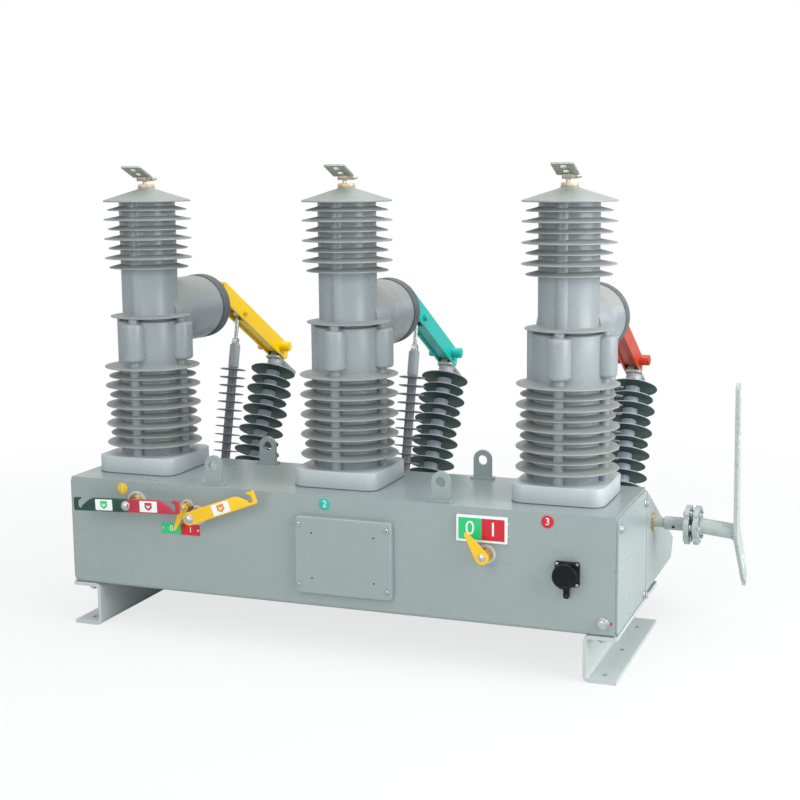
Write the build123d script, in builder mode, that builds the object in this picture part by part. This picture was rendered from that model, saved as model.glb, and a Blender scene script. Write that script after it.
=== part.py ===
from build123d import *
import os
from math import cos, radians, sin, sqrt, tan

# Outdoor vacuum circuit breaker, three poles on one tank, with a disconnector behind them.
# Millimetres. The origin is the centre of the rectangle of the four corner foot holes, on the
# underside of the feet. +X runs along the tank towards the handle, +Y to the back, +Z up.

os.makedirs("parts", exist_ok=True)

# Feet: two bent channels that open outwards
foot_width = 70
foot_height = 100
foot_length = 437
foot_sheet = 8
foot_bend = 14
foot_hole_radius = 7
foot_hole_side = 33
foot_hole_front = 35
foot_hole_pitch = 167.5

# Tank that holds the spring mechanism
tank_length = 1280
tank_depth = 300
tank_height = 250
tank_bend = 9
cover_sheet = 5
cover_margin = 4
cover_corner = 10
panel_width = 224
panel_height = 171
panel_depth = 13
panel_corner = 9
panel_x = 45
panel_lift = 118.5

# Lifting lugs on the tank's top
lug_width = 42
lug_height = 66
lug_sheet = 8
lug_hole_radius = 11
lug_hole_height = 43
lug_foot_width = 54
lug_foot_depth = 24
lug_foot_sheet = 5
lug_spacing = 536
front_lug_shift = -11
rear_lug_shift = 3
front_lug_inset = 25
rear_lug_inset = 26

# Hood of the disconnector: a bent sheet roof and two side plates
hood_slope = 28.8
hood_drop = 8.5
hood_clearance = 12
hood_sheet = 4
slot_clearance = 5.5
slot_corner = 8

# Poles
pole_pitch = 500
pole_shift = -7
pole_inset = 163.5
flange_side = 200
flange_height = 40
flange_corner = 28
flange_edge = 4
core_radius = 72
rib_radius = 11.5
rib_offset = 78
shed_tip = 3
shed_root = 8
shed_fall = 9
lower_shed_top = 243
lower_shed_pitch = 22.4
lower_shed_count = 9
lower_shed_large = 110
lower_shed_small = 101
body_radius = 77
body_corner = 5
lobe_radius = 25
lobe_offset = 82
lobe_corner = 7
lobe_gap = 8
lobe_height = 92
collar_height = 360
collar_radius = 92.5
collar_fall = 3
column_radius = 63
column_rib_radius = 13.5
column_rib_offset = 60
rim_height = 627
rim_radius = 100
rim_thickness = 3.5
cap_rise = 28
cap_top_radius = 20
upper_shed_pitch = 22
upper_shed_count = 7
upper_shed_large = 100
upper_shed_small = 91
barrel_height = 361
barrel_radius = 77.5
barrel_neck = 70
barrel_shoulder = 97
barrel_taper = 22
barrel_reach = 220
ring_radius = 78.5
ring_bore = 46
ring_thickness = 34
ring_groove = 1.5
ring_groove_width = 3
ring_groove_count = 3

# Upper terminal of a pole
stud_radius = 17
stud_height = 11
clamp_width = 29
clamp_front = 28
clamp_rear = 16
clamp_height = 11
clamp_split = 3
pad_width = 47
pad_length = 63
pad_sheet = 6
pad_tilt = 28
pad_from_stud = 17.5
pad_hole_radius = 6.5
pad_hole_pitch = 25
pad_hole_front = 16

# Hinge contact at the back of a barrel
contact_flange_radius = 44
contact_flange = 14
tongue_width = 20
tongue_radius = 17
contact_disc_radius = 14

# Disconnector blades: channels that open downwards, hinged at their upper end
hinge_reach = 326.4
hinge_height = 381
hinge_pin_radius = 8
ear_radius = 20
blade_start = 1.5
blade_length = 426
blade_past_post = 51.6
blade_width = 40
blade_depth = 45
blade_below_hinge = 9.5
blade_sheet = 5
blade_bend = 4
blade_tip_corner = 10
blade_floor = 4
blade_floor_rise = 6
blade_floor_start = 160
blade_floor_from_tip = 51
boss_radius = 13.5
boss_reach = 26
boss_from_tip = 49
boss_rise = 22
guide_pin_from_tip = 86
guide_pin_rise = 5
pin_head = 5
pin_head_radius = 11
small_head_radius = 9

# Shaft with its cranks, and the handle at its right end
shaft_radius = 11
shaft_back = 71
shaft_below_roof = 94
shaft_left_end = 10
crank_length = 132.6
crank_angle = -25
shaft_travel = 75
crank_sheet = 6
crank_hub_radius = 20
crank_end_radius = 14
crank_pin_radius = 6
bushing_radius = 20
bushing_flange = 5
bushing_sleeve_radius = 15.5
bushing_sleeve = 18
collar_start = 27
collar_length = 47
shaft_collar_radius = 15
coupling_radius = 44
coupling_disc = 11
coupling_gap = 9
coupling_scallops = 6
scallop_radius = 11
coupling_bolt_radius = 5
coupling_bolt_circle = 32
tube_radius = 17.5
tube_length = 76
handle_drop = 8
handle_sheet = 8
handle_hub_radius = 24
upper_arm_length = 339
upper_arm_width = 28
upper_arm_angle = 97
lower_arm_length = 233
lower_arm_width = 38
lower_arm_angle = -43
handle_notch_radius = 9
handle_notch_from_end = 26

# Pull rods: an insulator between two steel ends
rod_eye_radius = 14
rod_shank_radius = 7
rod_link_radius = 5
rod_top_eye_radius = 11
rod_top_eye_width = 20
rod_cap_radius = 13.7
rod_top_cap = 62
rod_low_cap = 45
rod_knuckle_radius = 8
rod_knuckle_width = 14
rod_knuckle_gap = 8.5
rod_core_radius = 11
rod_shed_radius = 33
rod_shed_pitch = 21.4
rod_shed_count = 12
rod_shed_tip = 2
rod_shed_root = 4.5
rod_cap_from_blade = 85

# Post insulators that stand square on the hood's roof
post_shift = 12
post_from_edge = 30.5
post_height = 403
post_core_radius = 18
post_shed_large = 61
post_shed_small = 54
post_shed_pitch = 29.2
post_shed_count = 13
post_first_shed = 33
post_shed_tip = 3
post_shed_root = 7
post_cap_radius = 20
post_cap_height = 16
post_flange_radius = 24
post_flange_height = 12

# Fixed contact and line terminal on a post
line_pad_width = 40
line_pad_back = 105
line_pad_front = 24
line_pad_sheet = 6
line_hole_radius = 6.5
line_hole_pitch = 35
line_hole_end = 17
fixed_tongue_width = 18
fixed_tongue_start = 5
fixed_tongue_back = 40
fixed_tongue_rise = 28

# Levers on the tank's front
lever_sheet = 6
lever_height = 30
lever_hook_drop = 18
lever_hook_slope = 26
lever_hook_gap = 12
lever_hook_width = 9
lever_hook_tip = 9
lever_end = 135
charging_end = 174
trip_x = -464
trip_lift = 204
trip_standoff = 44
trip_tilt = 2.1
charging_x = -311
charging_lift = 183
charging_standoff = 32
charging_tilt = 20.7
lever_spindle_radius = 8
lever_bush_radius = 14
lever_bush_length = 11
lever_bush_flange_radius = 18
lever_bush_flange = 4
spindle_clearance = 0.5

# Pointers on the tank's front
pointer_sheet = 3
position_x = 363.5
position_lift = 152
position_standoff = 29
position_length = 62
position_hub_radius = 15
position_tip_radius = 4
position_angle = 126
position_bush_radius = 12
position_bush_length = 16
charge_x = -335
charge_lift = 202
charge_standoff = 17
charge_length = 59
charge_hub_radius = 10
charge_tip_radius = 2.5
charge_angle = 245.7
charge_bush_radius = 8
charge_bush_length = 9
pointer_spindle_radius = 4
pointer_flange_extra = 3.5
pointer_flange = 3

# Plates and fittings on the tank's front
position_sign_x = 355
position_sign_lift = 205.5
position_sign_width = 110
position_sign_height = 56
position_sign_sheet = 6
charge_sign_x = -352.5
charge_sign_lift = 148
charge_sign_width = 97
charge_sign_height = 25
charge_sign_sheet = 1.5
socket_x = 536.5
socket_lift = 126
socket_side = 52
socket_corner = 5
socket_flange = 5
socket_radius = 25
socket_reach = 24
socket_tail_radius = 5
socket_tail_length = 26
socket_tail_lap = 3
earth_from_end = 28.5
earth_lift = 28
earth_washer_radius = 12.5
earth_washer = 3
earth_hex_side = 19
earth_head = 8
running_fit = 0.1
side_play = 0.5

# Places worked out from the sizes above
tank_front = -(foot_hole_front + foot_hole_pitch)
tank_back = tank_front + tank_depth
tank_top = foot_height + tank_height
tank_end = tank_length / 2
foot_hole_x = tank_end - foot_hole_side
pole_y = tank_front + pole_inset
pole_x = [pole_shift + step * pole_pitch for step in (-1, 0, 1)]
letters = "abc"
tilt = radians(hood_slope)
down_slope = Vector(0, cos(tilt), -sin(tilt))
off_roof = Vector(0, sin(tilt), cos(tilt))
across = Vector(1, 0, 0)
roof_start = Vector(0, tank_back, tank_top - hood_drop)
hinge_centre = Vector(0, pole_y + hinge_reach, tank_top + hinge_height)
blade_end = hinge_centre + down_slope * (blade_start + blade_length)
post_run = (blade_end - roof_start).dot(down_slope) - blade_past_post
roof_end = roof_start + down_slope * (post_run + post_from_edge)
hood_bottom = foot_height + hood_clearance
wall_end = roof_end - off_roof * ((roof_end.Z - hood_bottom) / cos(tilt))
shaft_centre = Vector(0, tank_back + shaft_back, tank_top - shaft_below_roof)
crank_reach = Vector(0, crank_length * cos(radians(crank_angle)), crank_length * sin(radians(crank_angle)))
crank_pin = shaft_centre + crank_reach
blade_pin = hinge_centre + crank_reach
rod_line = (blade_pin - crank_pin).normalized()
rod_length = (blade_pin - crank_pin).length
blade_gap = blade_width - 2 * blade_sheet


def facing(y):
    # A sketch plane that looks to the front at depth y, with X to the right and Z up
    return Plane.XZ.offset(-y)


def stem(origin, direction):
    # A plane whose normal is the direction of a turned piece's axis
    return Plane(origin=origin, x_dir=across, z_dir=direction)


def half_section(plane):
    # The plane in which a turned piece's section is drawn: radius to the right, axis up
    return Plane(origin=plane.origin, x_dir=plane.x_dir, z_dir=-plane.y_dir)


def axis_of(plane):
    return Axis(plane.origin, plane.z_dir)


def bar_section(radius, low, high):
    # Half of the section of a plain round bar
    Polygon((0, low), (radius, low), (radius, high), (0, high), align=None)


def shed_section(reach, height, root, tip, fall):
    # Half of the section of one shed: its rim is at the height given, its root is higher
    Polygon(
        (0, height + fall - root / 2),
        (reach - tip, height - tip / 2),
        (reach, height - tip / 4),
        (reach, height + tip / 4),
        (reach - tip, height + tip / 2),
        (0, height + fall + root / 2),
        align=None,
    )


# Feet
with BuildPart() as foot_right:
    with BuildSketch(facing(tank_front)):
        with BuildLine():
            FilletPolyline(
                (tank_end, foot_height - foot_sheet / 2),
                (tank_end - foot_width + foot_sheet / 2, foot_height - foot_sheet / 2),
                (tank_end - foot_width + foot_sheet / 2, foot_sheet / 2),
                (tank_end, foot_sheet / 2),
                radius=foot_bend - foot_sheet / 2,
            )
        trace(line_width=foot_sheet)
    extrude(amount=-foot_length)
    with Locations([(foot_hole_x, step * foot_hole_pitch, foot_sheet) for step in (-1, 0, 1)]):
        Hole(foot_hole_radius, depth=foot_sheet)
foot_right.part.label = "foot_right"
export_step(foot_right.part, "parts/foot_right.step")

with BuildPart() as foot_left:
    mirror(foot_right.part, about=Plane.YZ)
foot_left.part.label = "foot_left"
export_step(foot_left.part, "parts/foot_left.step")

# Tank, its end covers and the raised cover panel on its front
tank_centre = ((tank_front + tank_back) / 2, foot_height + tank_height / 2)
with BuildPart() as tank:
    with BuildSketch(Plane.YZ.offset(cover_sheet - tank_end)) as tank_section:
        with Locations(tank_centre):
            Rectangle(tank_depth, tank_height)
        fillet(tank_section.vertices().group_by(Axis.Y)[0], tank_bend)
    extrude(amount=tank_length - 2 * cover_sheet)
tank.part.label = "tank"
export_step(tank.part, "parts/tank.step")

with BuildPart() as end_covers:
    with BuildSketch(Plane.YZ.offset(tank_end - cover_sheet)):
        with Locations(tank_centre):
            RectangleRounded(tank_depth - 2 * cover_margin, tank_height - 2 * cover_margin, cover_corner)
    extrude(amount=cover_sheet)
    mirror(about=Plane.YZ)
end_covers.part.label = "end_covers"
export_step(end_covers.part, "parts/end_covers.step")

with BuildPart() as front_panel:
    with BuildSketch(facing(tank_front)):
        with Locations((panel_x, foot_height + panel_lift)):
            RectangleRounded(panel_width, panel_height, panel_corner)
    extrude(amount=panel_depth)
    fillet(front_panel.faces().sort_by(Axis.Y)[0].edges(), panel_corner / 3)
front_panel.part.label = "front_panel"
export_step(front_panel.part, "parts/front_panel.step")

# Lifting lugs
with BuildPart() as lug:
    with BuildSketch(facing(-lug_sheet / 2)):
        with Locations((0, (lug_height - lug_width / 2) / 2)):
            Rectangle(lug_width, lug_height - lug_width / 2)
        with Locations((0, lug_height - lug_width / 2)):
            Circle(lug_width / 2)
        with Locations((0, lug_hole_height)):
            Circle(lug_hole_radius, mode=Mode.SUBTRACT)
    extrude(amount=-lug_sheet)
    with BuildSketch():
        RectangleRounded(lug_foot_width, lug_foot_depth, lug_foot_sheet)
    extrude(amount=lug_foot_sheet)

lug_places = [
    (shift + side * lug_spacing / 2, y, tank_top)
    for shift, y in (
        (front_lug_shift, tank_front + front_lug_inset),
        (rear_lug_shift, tank_back - rear_lug_inset),
    )
    for side in (-1, 1)
]
with BuildPart() as lifting_lugs:
    with Locations(lug_places):
        add(lug.part)
lifting_lugs.part.label = "lifting_lugs"
export_step(lifting_lugs.part, "parts/lifting_lugs.step")

# Hood: roof and rear wall are one bent sheet, with a slot over each crank
roof_plane = Plane(origin=roof_start, x_dir=across, z_dir=off_roof)
shaft_foot = (shaft_centre - roof_start).dot(down_slope)
shaft_depth = -(shaft_centre - roof_start).dot(off_roof)
crank_to_roof = radians(crank_angle + hood_slope + shaft_travel)
slot_start = shaft_foot + shaft_depth / tan(crank_to_roof) - crank_hub_radius - slot_clearance
slot_end = shaft_foot + sqrt(crank_length**2 - shaft_depth**2) + crank_end_radius + slot_clearance
slot_width = rod_top_eye_width + 2 * (crank_sheet + side_play + slot_clearance)
sheet_outline = [
    roof_start,
    roof_end,
    wall_end,
    wall_end - down_slope * hood_sheet,
    roof_end - (down_slope + off_roof) * hood_sheet,
    roof_start - Vector(0, 0, hood_sheet / cos(tilt)),
]
with BuildPart() as hood_roof:
    with BuildSketch(Plane.YZ.offset(hood_sheet - tank_end)):
        Polygon(*[(point.Y, point.Z) for point in sheet_outline], align=None)
    extrude(amount=tank_length - 2 * hood_sheet)
    with BuildSketch(roof_plane):
        with Locations([(x, (slot_start + slot_end) / 2) for x in pole_x]):
            RectangleRounded(slot_width, slot_end - slot_start, slot_corner)
    extrude(amount=-2 * hood_sheet, mode=Mode.SUBTRACT)
hood_roof.part.label = "hood_roof"
export_step(hood_roof.part, "parts/hood_roof.step")

side_outline = [(tank_back, hood_bottom)]
side_outline += [(point.Y, point.Z) for point in (roof_start, roof_end, wall_end)]
for name, start in (("hood_side_left", -tank_end), ("hood_side_right", tank_end - hood_sheet)):
    with BuildPart() as hood_side:
        with BuildSketch(Plane.YZ.offset(start)):
            Polygon(*side_outline, align=None)
            with Locations((shaft_centre.Y, shaft_centre.Z)):
                Circle(bushing_sleeve_radius, mode=Mode.SUBTRACT)
        extrude(amount=hood_sheet)
    hood_side.part.label = name
    export_step(hood_side.part, f"parts/{name}.step")

# Pole: one casting with its flange, sheds, lobed body, collar, upper column and rear barrel
pole_plane = stem(Vector(0, pole_y, tank_top), Vector(0, 0, 1))
barrel_plane = stem(Vector(0, pole_y, tank_top + barrel_height), Vector(0, 1, 0))
lower_sheds = [
    (lower_shed_small if step % 2 else lower_shed_large, lower_shed_top - step * lower_shed_pitch)
    for step in range(lower_shed_count)
]
upper_sheds = [
    (upper_shed_large if step % 2 else upper_shed_small, rim_height - (step + 1) * upper_shed_pitch)
    for step in range(upper_shed_count)
]
lobe_bottom = lower_shed_top + lobe_gap
with BuildPart() as lobe:
    Cylinder(lobe_radius, lobe_height, align=(Align.CENTER, Align.CENTER, Align.MIN))
    fillet(lobe.edges().filter_by(GeomType.CIRCLE), lobe_corner)

with BuildPart() as casting:
    with BuildSketch(pole_plane):
        RectangleRounded(flange_side, flange_side, flange_corner)
    extrude(amount=flange_height)
    fillet(casting.faces().sort_by(Axis.Z)[-1].edges(), flange_edge)
    with BuildSketch(half_section(pole_plane)) as body_section:
        bar_section(body_radius, lower_shed_top, lobe_bottom + lobe_height)
        fillet(body_section.vertices().group_by(Axis.X)[-1], body_corner)
    revolve(axis=axis_of(pole_plane))
    with BuildSketch(half_section(pole_plane)):
        bar_section(core_radius, flange_height, collar_height)
        bar_section(column_radius, collar_height, rim_height)
        shed_section(collar_radius, collar_height, shed_root, shed_tip, collar_fall)
        for reach, height in lower_sheds + upper_sheds:
            shed_section(reach, height, shed_root, shed_tip, shed_fall)
        Polygon(
            (0, rim_height - rim_thickness),
            (rim_radius, rim_height - rim_thickness),
            (rim_radius, rim_height),
            (cap_top_radius, rim_height + cap_rise),
            (0, rim_height + cap_rise),
            align=None,
        )
    revolve(axis=axis_of(pole_plane))
    with BuildSketch(pole_plane.offset(flange_height)):
        with PolarLocations(rib_offset, 4):
            Circle(rib_radius)
    extrude(amount=collar_height - flange_height)
    lobe_foot = tank_top + lobe_bottom
    with Locations((lobe_offset, pole_y, lobe_foot), (0, pole_y - lobe_offset, lobe_foot)):
        add(lobe.part)
    with BuildSketch(pole_plane.offset(collar_height)):
        with PolarLocations(column_rib_offset, 4):
            Circle(column_rib_radius)
    extrude(amount=rim_height - rim_thickness - collar_height)
    with BuildSketch(half_section(barrel_plane)):
        Polygon(
            (0, 0),
            (barrel_neck, 0),
            (barrel_neck, barrel_shoulder - barrel_taper),
            (barrel_radius, barrel_shoulder),
            (barrel_radius, barrel_reach),
            (0, barrel_reach),
            align=None,
        )
    revolve(axis=axis_of(barrel_plane))

# Rubber ring round the end of each barrel, and the brass stud on each pole
barrel_end = pole_y + barrel_reach
ring_step = ring_thickness / (ring_groove_count + 1)
with BuildPart() as ring:
    with BuildSketch(facing(barrel_end)):
        with Locations((0, tank_top + barrel_height)):
            Circle(ring_radius)
            Circle(ring_bore, mode=Mode.SUBTRACT)
    extrude(amount=-ring_thickness)
    for step in range(1, ring_groove_count + 1):
        with BuildSketch(facing(barrel_end + step * ring_step - ring_groove_width / 2)):
            with Locations((0, tank_top + barrel_height)):
                Circle(ring_radius)
                Circle(ring_radius - ring_groove, mode=Mode.SUBTRACT)
        extrude(amount=-ring_groove_width, mode=Mode.SUBTRACT)

with BuildPart() as barrel_rings:
    with Locations([(x, 0, 0) for x in pole_x]):
        add(ring.part)
barrel_rings.part.label = "barrel_rings"
export_step(barrel_rings.part, "parts/barrel_rings.step")

cap_top = tank_top + rim_height + cap_rise
with BuildPart() as terminal_studs:
    with BuildSketch(Plane.XY.offset(cap_top)):
        with Locations([(x, pole_y) for x in pole_x]):
            RegularPolygon(stud_radius, 6, major_radius=False)
    extrude(amount=stud_height)
terminal_studs.part.label = "terminal_studs"
export_step(terminal_studs.part, "parts/terminal_studs.step")

# Upper terminal: a split clamp on the stud, and a flat pad that slopes up to the front
clamp_bottom = cap_top + stud_height
pad_start = Vector(0, pole_y - pad_from_stud, clamp_bottom + clamp_height - pad_sheet)
pad_normal = Vector(0, sin(radians(pad_tilt)), cos(radians(pad_tilt)))
pad_plane = Plane(origin=pad_start, x_dir=across, z_dir=pad_normal)
with BuildPart() as terminal:
    with BuildSketch(Plane.XY.offset(clamp_bottom)):
        with Locations((0, pole_y + (clamp_rear - clamp_front) / 2)):
            RectangleRounded(clamp_width, clamp_rear + clamp_front, pad_sheet)
        with Locations((0, pole_y + clamp_rear / 2)):
            Rectangle(clamp_split, clamp_rear, mode=Mode.SUBTRACT)
    extrude(amount=clamp_height)
    with BuildSketch(pad_plane):
        with Locations((0, -pad_length / 2)):
            RectangleRounded(pad_width, pad_length, pad_sheet / 2)
        with Locations([(0, pad_hole_front + step * pad_hole_pitch - pad_length) for step in (0, 1)]):
            Circle(pad_hole_radius, mode=Mode.SUBTRACT)
    extrude(amount=pad_sheet)

# Hinge contact: a round flange on the barrel's end, with the tongue that carries the blade
contact_start = barrel_end + ring_thickness
tongue_axis = Vector(0, contact_start + tongue_radius, tank_top + barrel_height)
with BuildPart() as contact:
    with BuildSketch(facing(barrel_end)):
        with Locations((0, tank_top + barrel_height)):
            Circle(contact_flange_radius)
    extrude(amount=-(ring_thickness + contact_flange))
    with BuildSketch(Plane.YZ.offset(-tongue_width / 2)):
        with Locations((tongue_axis.Y, tongue_axis.Z), (hinge_centre.Y, hinge_centre.Z)):
            Circle(tongue_radius)
        make_hull()
    extrude(amount=tongue_width)
    with BuildSketch(Plane.YZ.offset(side_play - blade_gap / 2)):
        with Locations((hinge_centre.Y, hinge_centre.Z)):
            Circle(contact_disc_radius)
    extrude(amount=blade_gap - 2 * side_play)
    with BuildSketch(Plane.YZ.offset(-blade_gap)):
        with Locations((hinge_centre.Y, hinge_centre.Z)):
            Circle(hinge_pin_radius + running_fit)
    extrude(amount=2 * blade_gap, mode=Mode.SUBTRACT)

# Blade: a channel with hinge ears, its pins, and the spring housing near its lower end
blade_side = Plane(origin=hinge_centre, x_dir=down_slope, z_dir=across)
blade_top = blade_depth - blade_below_hinge
pin_u = crank_reach.dot(down_slope)
pin_w = crank_reach.dot(off_roof)
floor_bottom = blade_floor_rise - blade_below_hinge
blade_floor_end = blade_length - blade_floor_from_tip
with BuildPart() as blade:
    with BuildSketch(blade_side.offset(-blade_width / 2)):
        with Locations((blade_start + blade_length / 2, blade_top - blade_depth / 2)):
            RectangleRounded(blade_length, blade_depth, blade_tip_corner)
        with Locations((blade_start + blade_length / 2 - blade_tip_corner, blade_top - blade_depth / 4)):
            Rectangle(blade_length - 2 * blade_tip_corner, blade_depth / 2)
        Circle(ear_radius)
    extrude(amount=blade_width)
    with BuildSketch(blade_side.offset(-blade_gap / 2)):
        with Locations((blade_length / 2, blade_top - blade_sheet - blade_depth)):
            Rectangle(blade_length * 2, blade_depth * 2)
    extrude(amount=blade_gap, mode=Mode.SUBTRACT)
    with BuildSketch(blade_side.offset(-blade_gap / 2)):
        with Locations(((blade_floor_start + blade_floor_end) / 2, floor_bottom + blade_floor / 2)):
            Rectangle(blade_floor_end - blade_floor_start, blade_floor)
    extrude(amount=blade_gap)
    with BuildSketch(blade_side.offset(-blade_width / 2)):
        Circle(hinge_pin_radius)
        with Locations((pin_u, pin_w)):
            Circle(crank_pin_radius)
    extrude(amount=blade_width)
    with BuildSketch(blade_side.offset(-blade_width / 2 - pin_head)):
        Circle(pin_head_radius)
        with Locations((pin_u, pin_w), (blade_length - guide_pin_from_tip, guide_pin_rise - blade_below_hinge)):
            Circle(small_head_radius)
    extrude(amount=pin_head)
    with BuildSketch(blade_side.offset(blade_width / 2)):
        Circle(pin_head_radius)
        with Locations((pin_u, pin_w)):
            Circle(small_head_radius)
    extrude(amount=pin_head)
    with BuildSketch(blade_side.offset(blade_width / 2)):
        with Locations((blade_length - boss_from_tip, boss_rise - blade_below_hinge)):
            Circle(boss_radius)
    extrude(amount=boss_reach)

# Pull rod: steel ends with an eye each, and the insulator with its sleeves between them
rod_plane = stem(blade_pin, -rod_line)
cap_bottom = rod_cap_from_blade + rod_top_cap
low_cap_top = cap_bottom + rod_shed_pitch * (rod_shed_count - 1) + rod_shed_root * 2
with BuildPart() as rod_ends:
    with BuildSketch(half_section(rod_plane)):
        bar_section(rod_link_radius, 0, rod_cap_from_blade)
        bar_section(rod_shank_radius, low_cap_top + rod_low_cap, rod_length)
    revolve(axis=axis_of(rod_plane))
    with BuildSketch(Plane.YZ.offset(-rod_top_eye_width / 2)):
        with Locations((blade_pin.Y, blade_pin.Z)):
            Circle(rod_top_eye_radius)
        with Locations((crank_pin.Y, crank_pin.Z)):
            Circle(rod_eye_radius)
    extrude(amount=rod_top_eye_width)
    knuckle = blade_pin - rod_line * (rod_cap_from_blade - rod_knuckle_gap)
    with BuildSketch(Plane.YZ.offset(-rod_knuckle_width / 2)):
        with Locations((knuckle.Y, knuckle.Z)):
            Circle(rod_knuckle_radius)
    extrude(amount=rod_knuckle_width)
    with BuildSketch(Plane.YZ.offset(-rod_top_eye_width)):
        with Locations((blade_pin.Y, blade_pin.Z), (crank_pin.Y, crank_pin.Z)):
            Circle(crank_pin_radius + running_fit)
    extrude(amount=2 * rod_top_eye_width, mode=Mode.SUBTRACT)

with BuildPart() as rod_insulator:
    with BuildSketch(half_section(rod_plane)):
        bar_section(rod_cap_radius, rod_cap_from_blade, cap_bottom)
        bar_section(rod_core_radius, cap_bottom, low_cap_top)
        bar_section(rod_cap_radius, low_cap_top, low_cap_top + rod_low_cap)
        for step in range(rod_shed_count):
            height = cap_bottom + rod_shed_root + step * rod_shed_pitch
            shed_section(rod_shed_radius, height, rod_shed_root, rod_shed_tip, 0)
    revolve(axis=axis_of(rod_plane))

# Post insulator, its steel cap and flange
post_foot = roof_start + down_slope * post_run + across * post_shift
post_plane = stem(post_foot, off_roof)
with BuildPart() as post:
    with BuildSketch(half_section(post_plane)):
        bar_section(post_core_radius, post_flange_height, post_height - post_cap_height)
        for step in range(post_shed_count):
            reach = post_shed_small if step % 2 else post_shed_large
            height = post_height - post_first_shed - step * post_shed_pitch
            shed_section(reach, height, post_shed_root, post_shed_tip, post_shed_root / 2)
    revolve(axis=axis_of(post_plane))

with BuildPart() as post_fittings:
    with BuildSketch(half_section(post_plane)):
        bar_section(post_flange_radius, 0, post_flange_height)
        bar_section(post_cap_radius, post_height - post_cap_height, post_height)
    revolve(axis=axis_of(post_plane))

# Fixed contact on a post: a line pad that slopes with the roof, and the tongue for the blade
head_plane = Plane(origin=post_foot + off_roof * post_height, x_dir=across, z_dir=off_roof)
tongue_side = Plane(origin=post_foot + off_roof * post_height - across * post_shift, x_dir=down_slope,
                    z_dir=across)
with BuildPart() as line_terminal:
    with BuildSketch(head_plane):
        with Locations((0, (line_pad_back - line_pad_front) / 2)):
            RectangleRounded(line_pad_width, line_pad_back + line_pad_front, line_pad_sheet)
        with Locations([(0, line_pad_back - line_hole_end - step * line_hole_pitch) for step in (0, 1)]):
            Circle(line_hole_radius, mode=Mode.SUBTRACT)
    extrude(amount=line_pad_sheet)
    with BuildSketch(tongue_side.offset(-fixed_tongue_width / 2)):
        Polygon(
            (fixed_tongue_start, line_pad_sheet / 2),
            (fixed_tongue_back, line_pad_sheet / 2),
            (fixed_tongue_back, line_pad_sheet + fixed_tongue_rise),
            (fixed_tongue_start, line_pad_sheet + fixed_tongue_rise),
            align=None,
        )
    extrude(amount=fixed_tongue_width)

# One copy of each repeated piece for every pole
repeated = (
    ("pole", casting),
    ("top_terminal", terminal),
    ("hinge_contact", contact),
    ("blade", blade),
    ("rod_ends", rod_ends),
    ("pull_rod", rod_insulator),
    ("post", post),
    ("post_fittings", post_fittings),
    ("line_terminal", line_terminal),
)
for name, pattern in repeated:
    for letter, x in zip(letters, pole_x):
        with BuildPart() as copy:
            with Locations((x, 0, 0)):
                add(pattern.part)
        copy.part.label = f"{name}_{letter}"
        export_step(copy.part, f"parts/{name}_{letter}.step")

# Shaft through the hood with a forked crank at each pole, and a collar at its right end
crank_inner = rod_top_eye_width / 2 + side_play
collar_x = tank_end + collar_start
coupling_x = collar_x + collar_length
with BuildPart() as shaft:
    with BuildSketch(Plane.YZ.offset(-tank_end - shaft_left_end)):
        with Locations((shaft_centre.Y, shaft_centre.Z)):
            Circle(shaft_radius)
    extrude(amount=tank_end + shaft_left_end + coupling_x)
    with BuildSketch(Plane.YZ.offset(collar_x)):
        with Locations((shaft_centre.Y, shaft_centre.Z)):
            Circle(shaft_collar_radius)
    extrude(amount=collar_length)
    for x in pole_x:
        for side in (-1, 1):
            with BuildSketch(Plane.YZ.offset(x + side * crank_inner)):
                with Locations((shaft_centre.Y, shaft_centre.Z)):
                    Circle(crank_hub_radius)
                with Locations((crank_pin.Y, crank_pin.Z)):
                    Circle(crank_end_radius)
                make_hull()
            extrude(amount=side * crank_sheet)
        with BuildSketch(Plane.YZ.offset(x - crank_inner)):
            with Locations((crank_pin.Y, crank_pin.Z)):
                Circle(crank_pin_radius)
        extrude(amount=2 * crank_inner)
shaft.part.label = "shaft"
export_step(shaft.part, "parts/shaft.step")

# Brass bushings in the hood's side plates
with BuildPart() as shaft_bushings:
    with BuildSketch(Plane.YZ.offset(tank_end)):
        with Locations((shaft_centre.Y, shaft_centre.Z)):
            Circle(bushing_radius)
    extrude(amount=bushing_flange)
    with BuildSketch(Plane.YZ.offset(tank_end)):
        with Locations((shaft_centre.Y, shaft_centre.Z)):
            Circle(bushing_sleeve_radius)
    extrude(amount=-bushing_sleeve)
    with BuildSketch(Plane.YZ.offset(tank_end + bushing_flange)):
        with Locations((shaft_centre.Y, shaft_centre.Z)):
            Circle(shaft_radius + running_fit)
    extrude(amount=-bushing_flange - bushing_sleeve, mode=Mode.SUBTRACT)
    mirror(about=Plane.YZ)
shaft_bushings.part.label = "shaft_bushings"
export_step(shaft_bushings.part, "parts/shaft_bushings.step")

# Coupling: two scalloped discs held apart by their bolts
with BuildPart() as coupling:
    for step in (0, 1):
        with BuildSketch(Plane.YZ.offset(coupling_x + step * (coupling_disc + coupling_gap))):
            with Locations((shaft_centre.Y, shaft_centre.Z)):
                Circle(coupling_radius)
                with PolarLocations(coupling_radius + scallop_radius / 2, coupling_scallops, start_angle=30):
                    Circle(scallop_radius, mode=Mode.SUBTRACT)
        extrude(amount=coupling_disc)
    with BuildSketch(Plane.YZ.offset(coupling_x)):
        with Locations((shaft_centre.Y, shaft_centre.Z)):
            with PolarLocations(coupling_bolt_circle, coupling_scallops):
                Circle(coupling_bolt_radius)
    extrude(amount=2 * coupling_disc + coupling_gap)
coupling.part.label = "coupling"
export_step(coupling.part, "parts/coupling.step")

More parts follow.
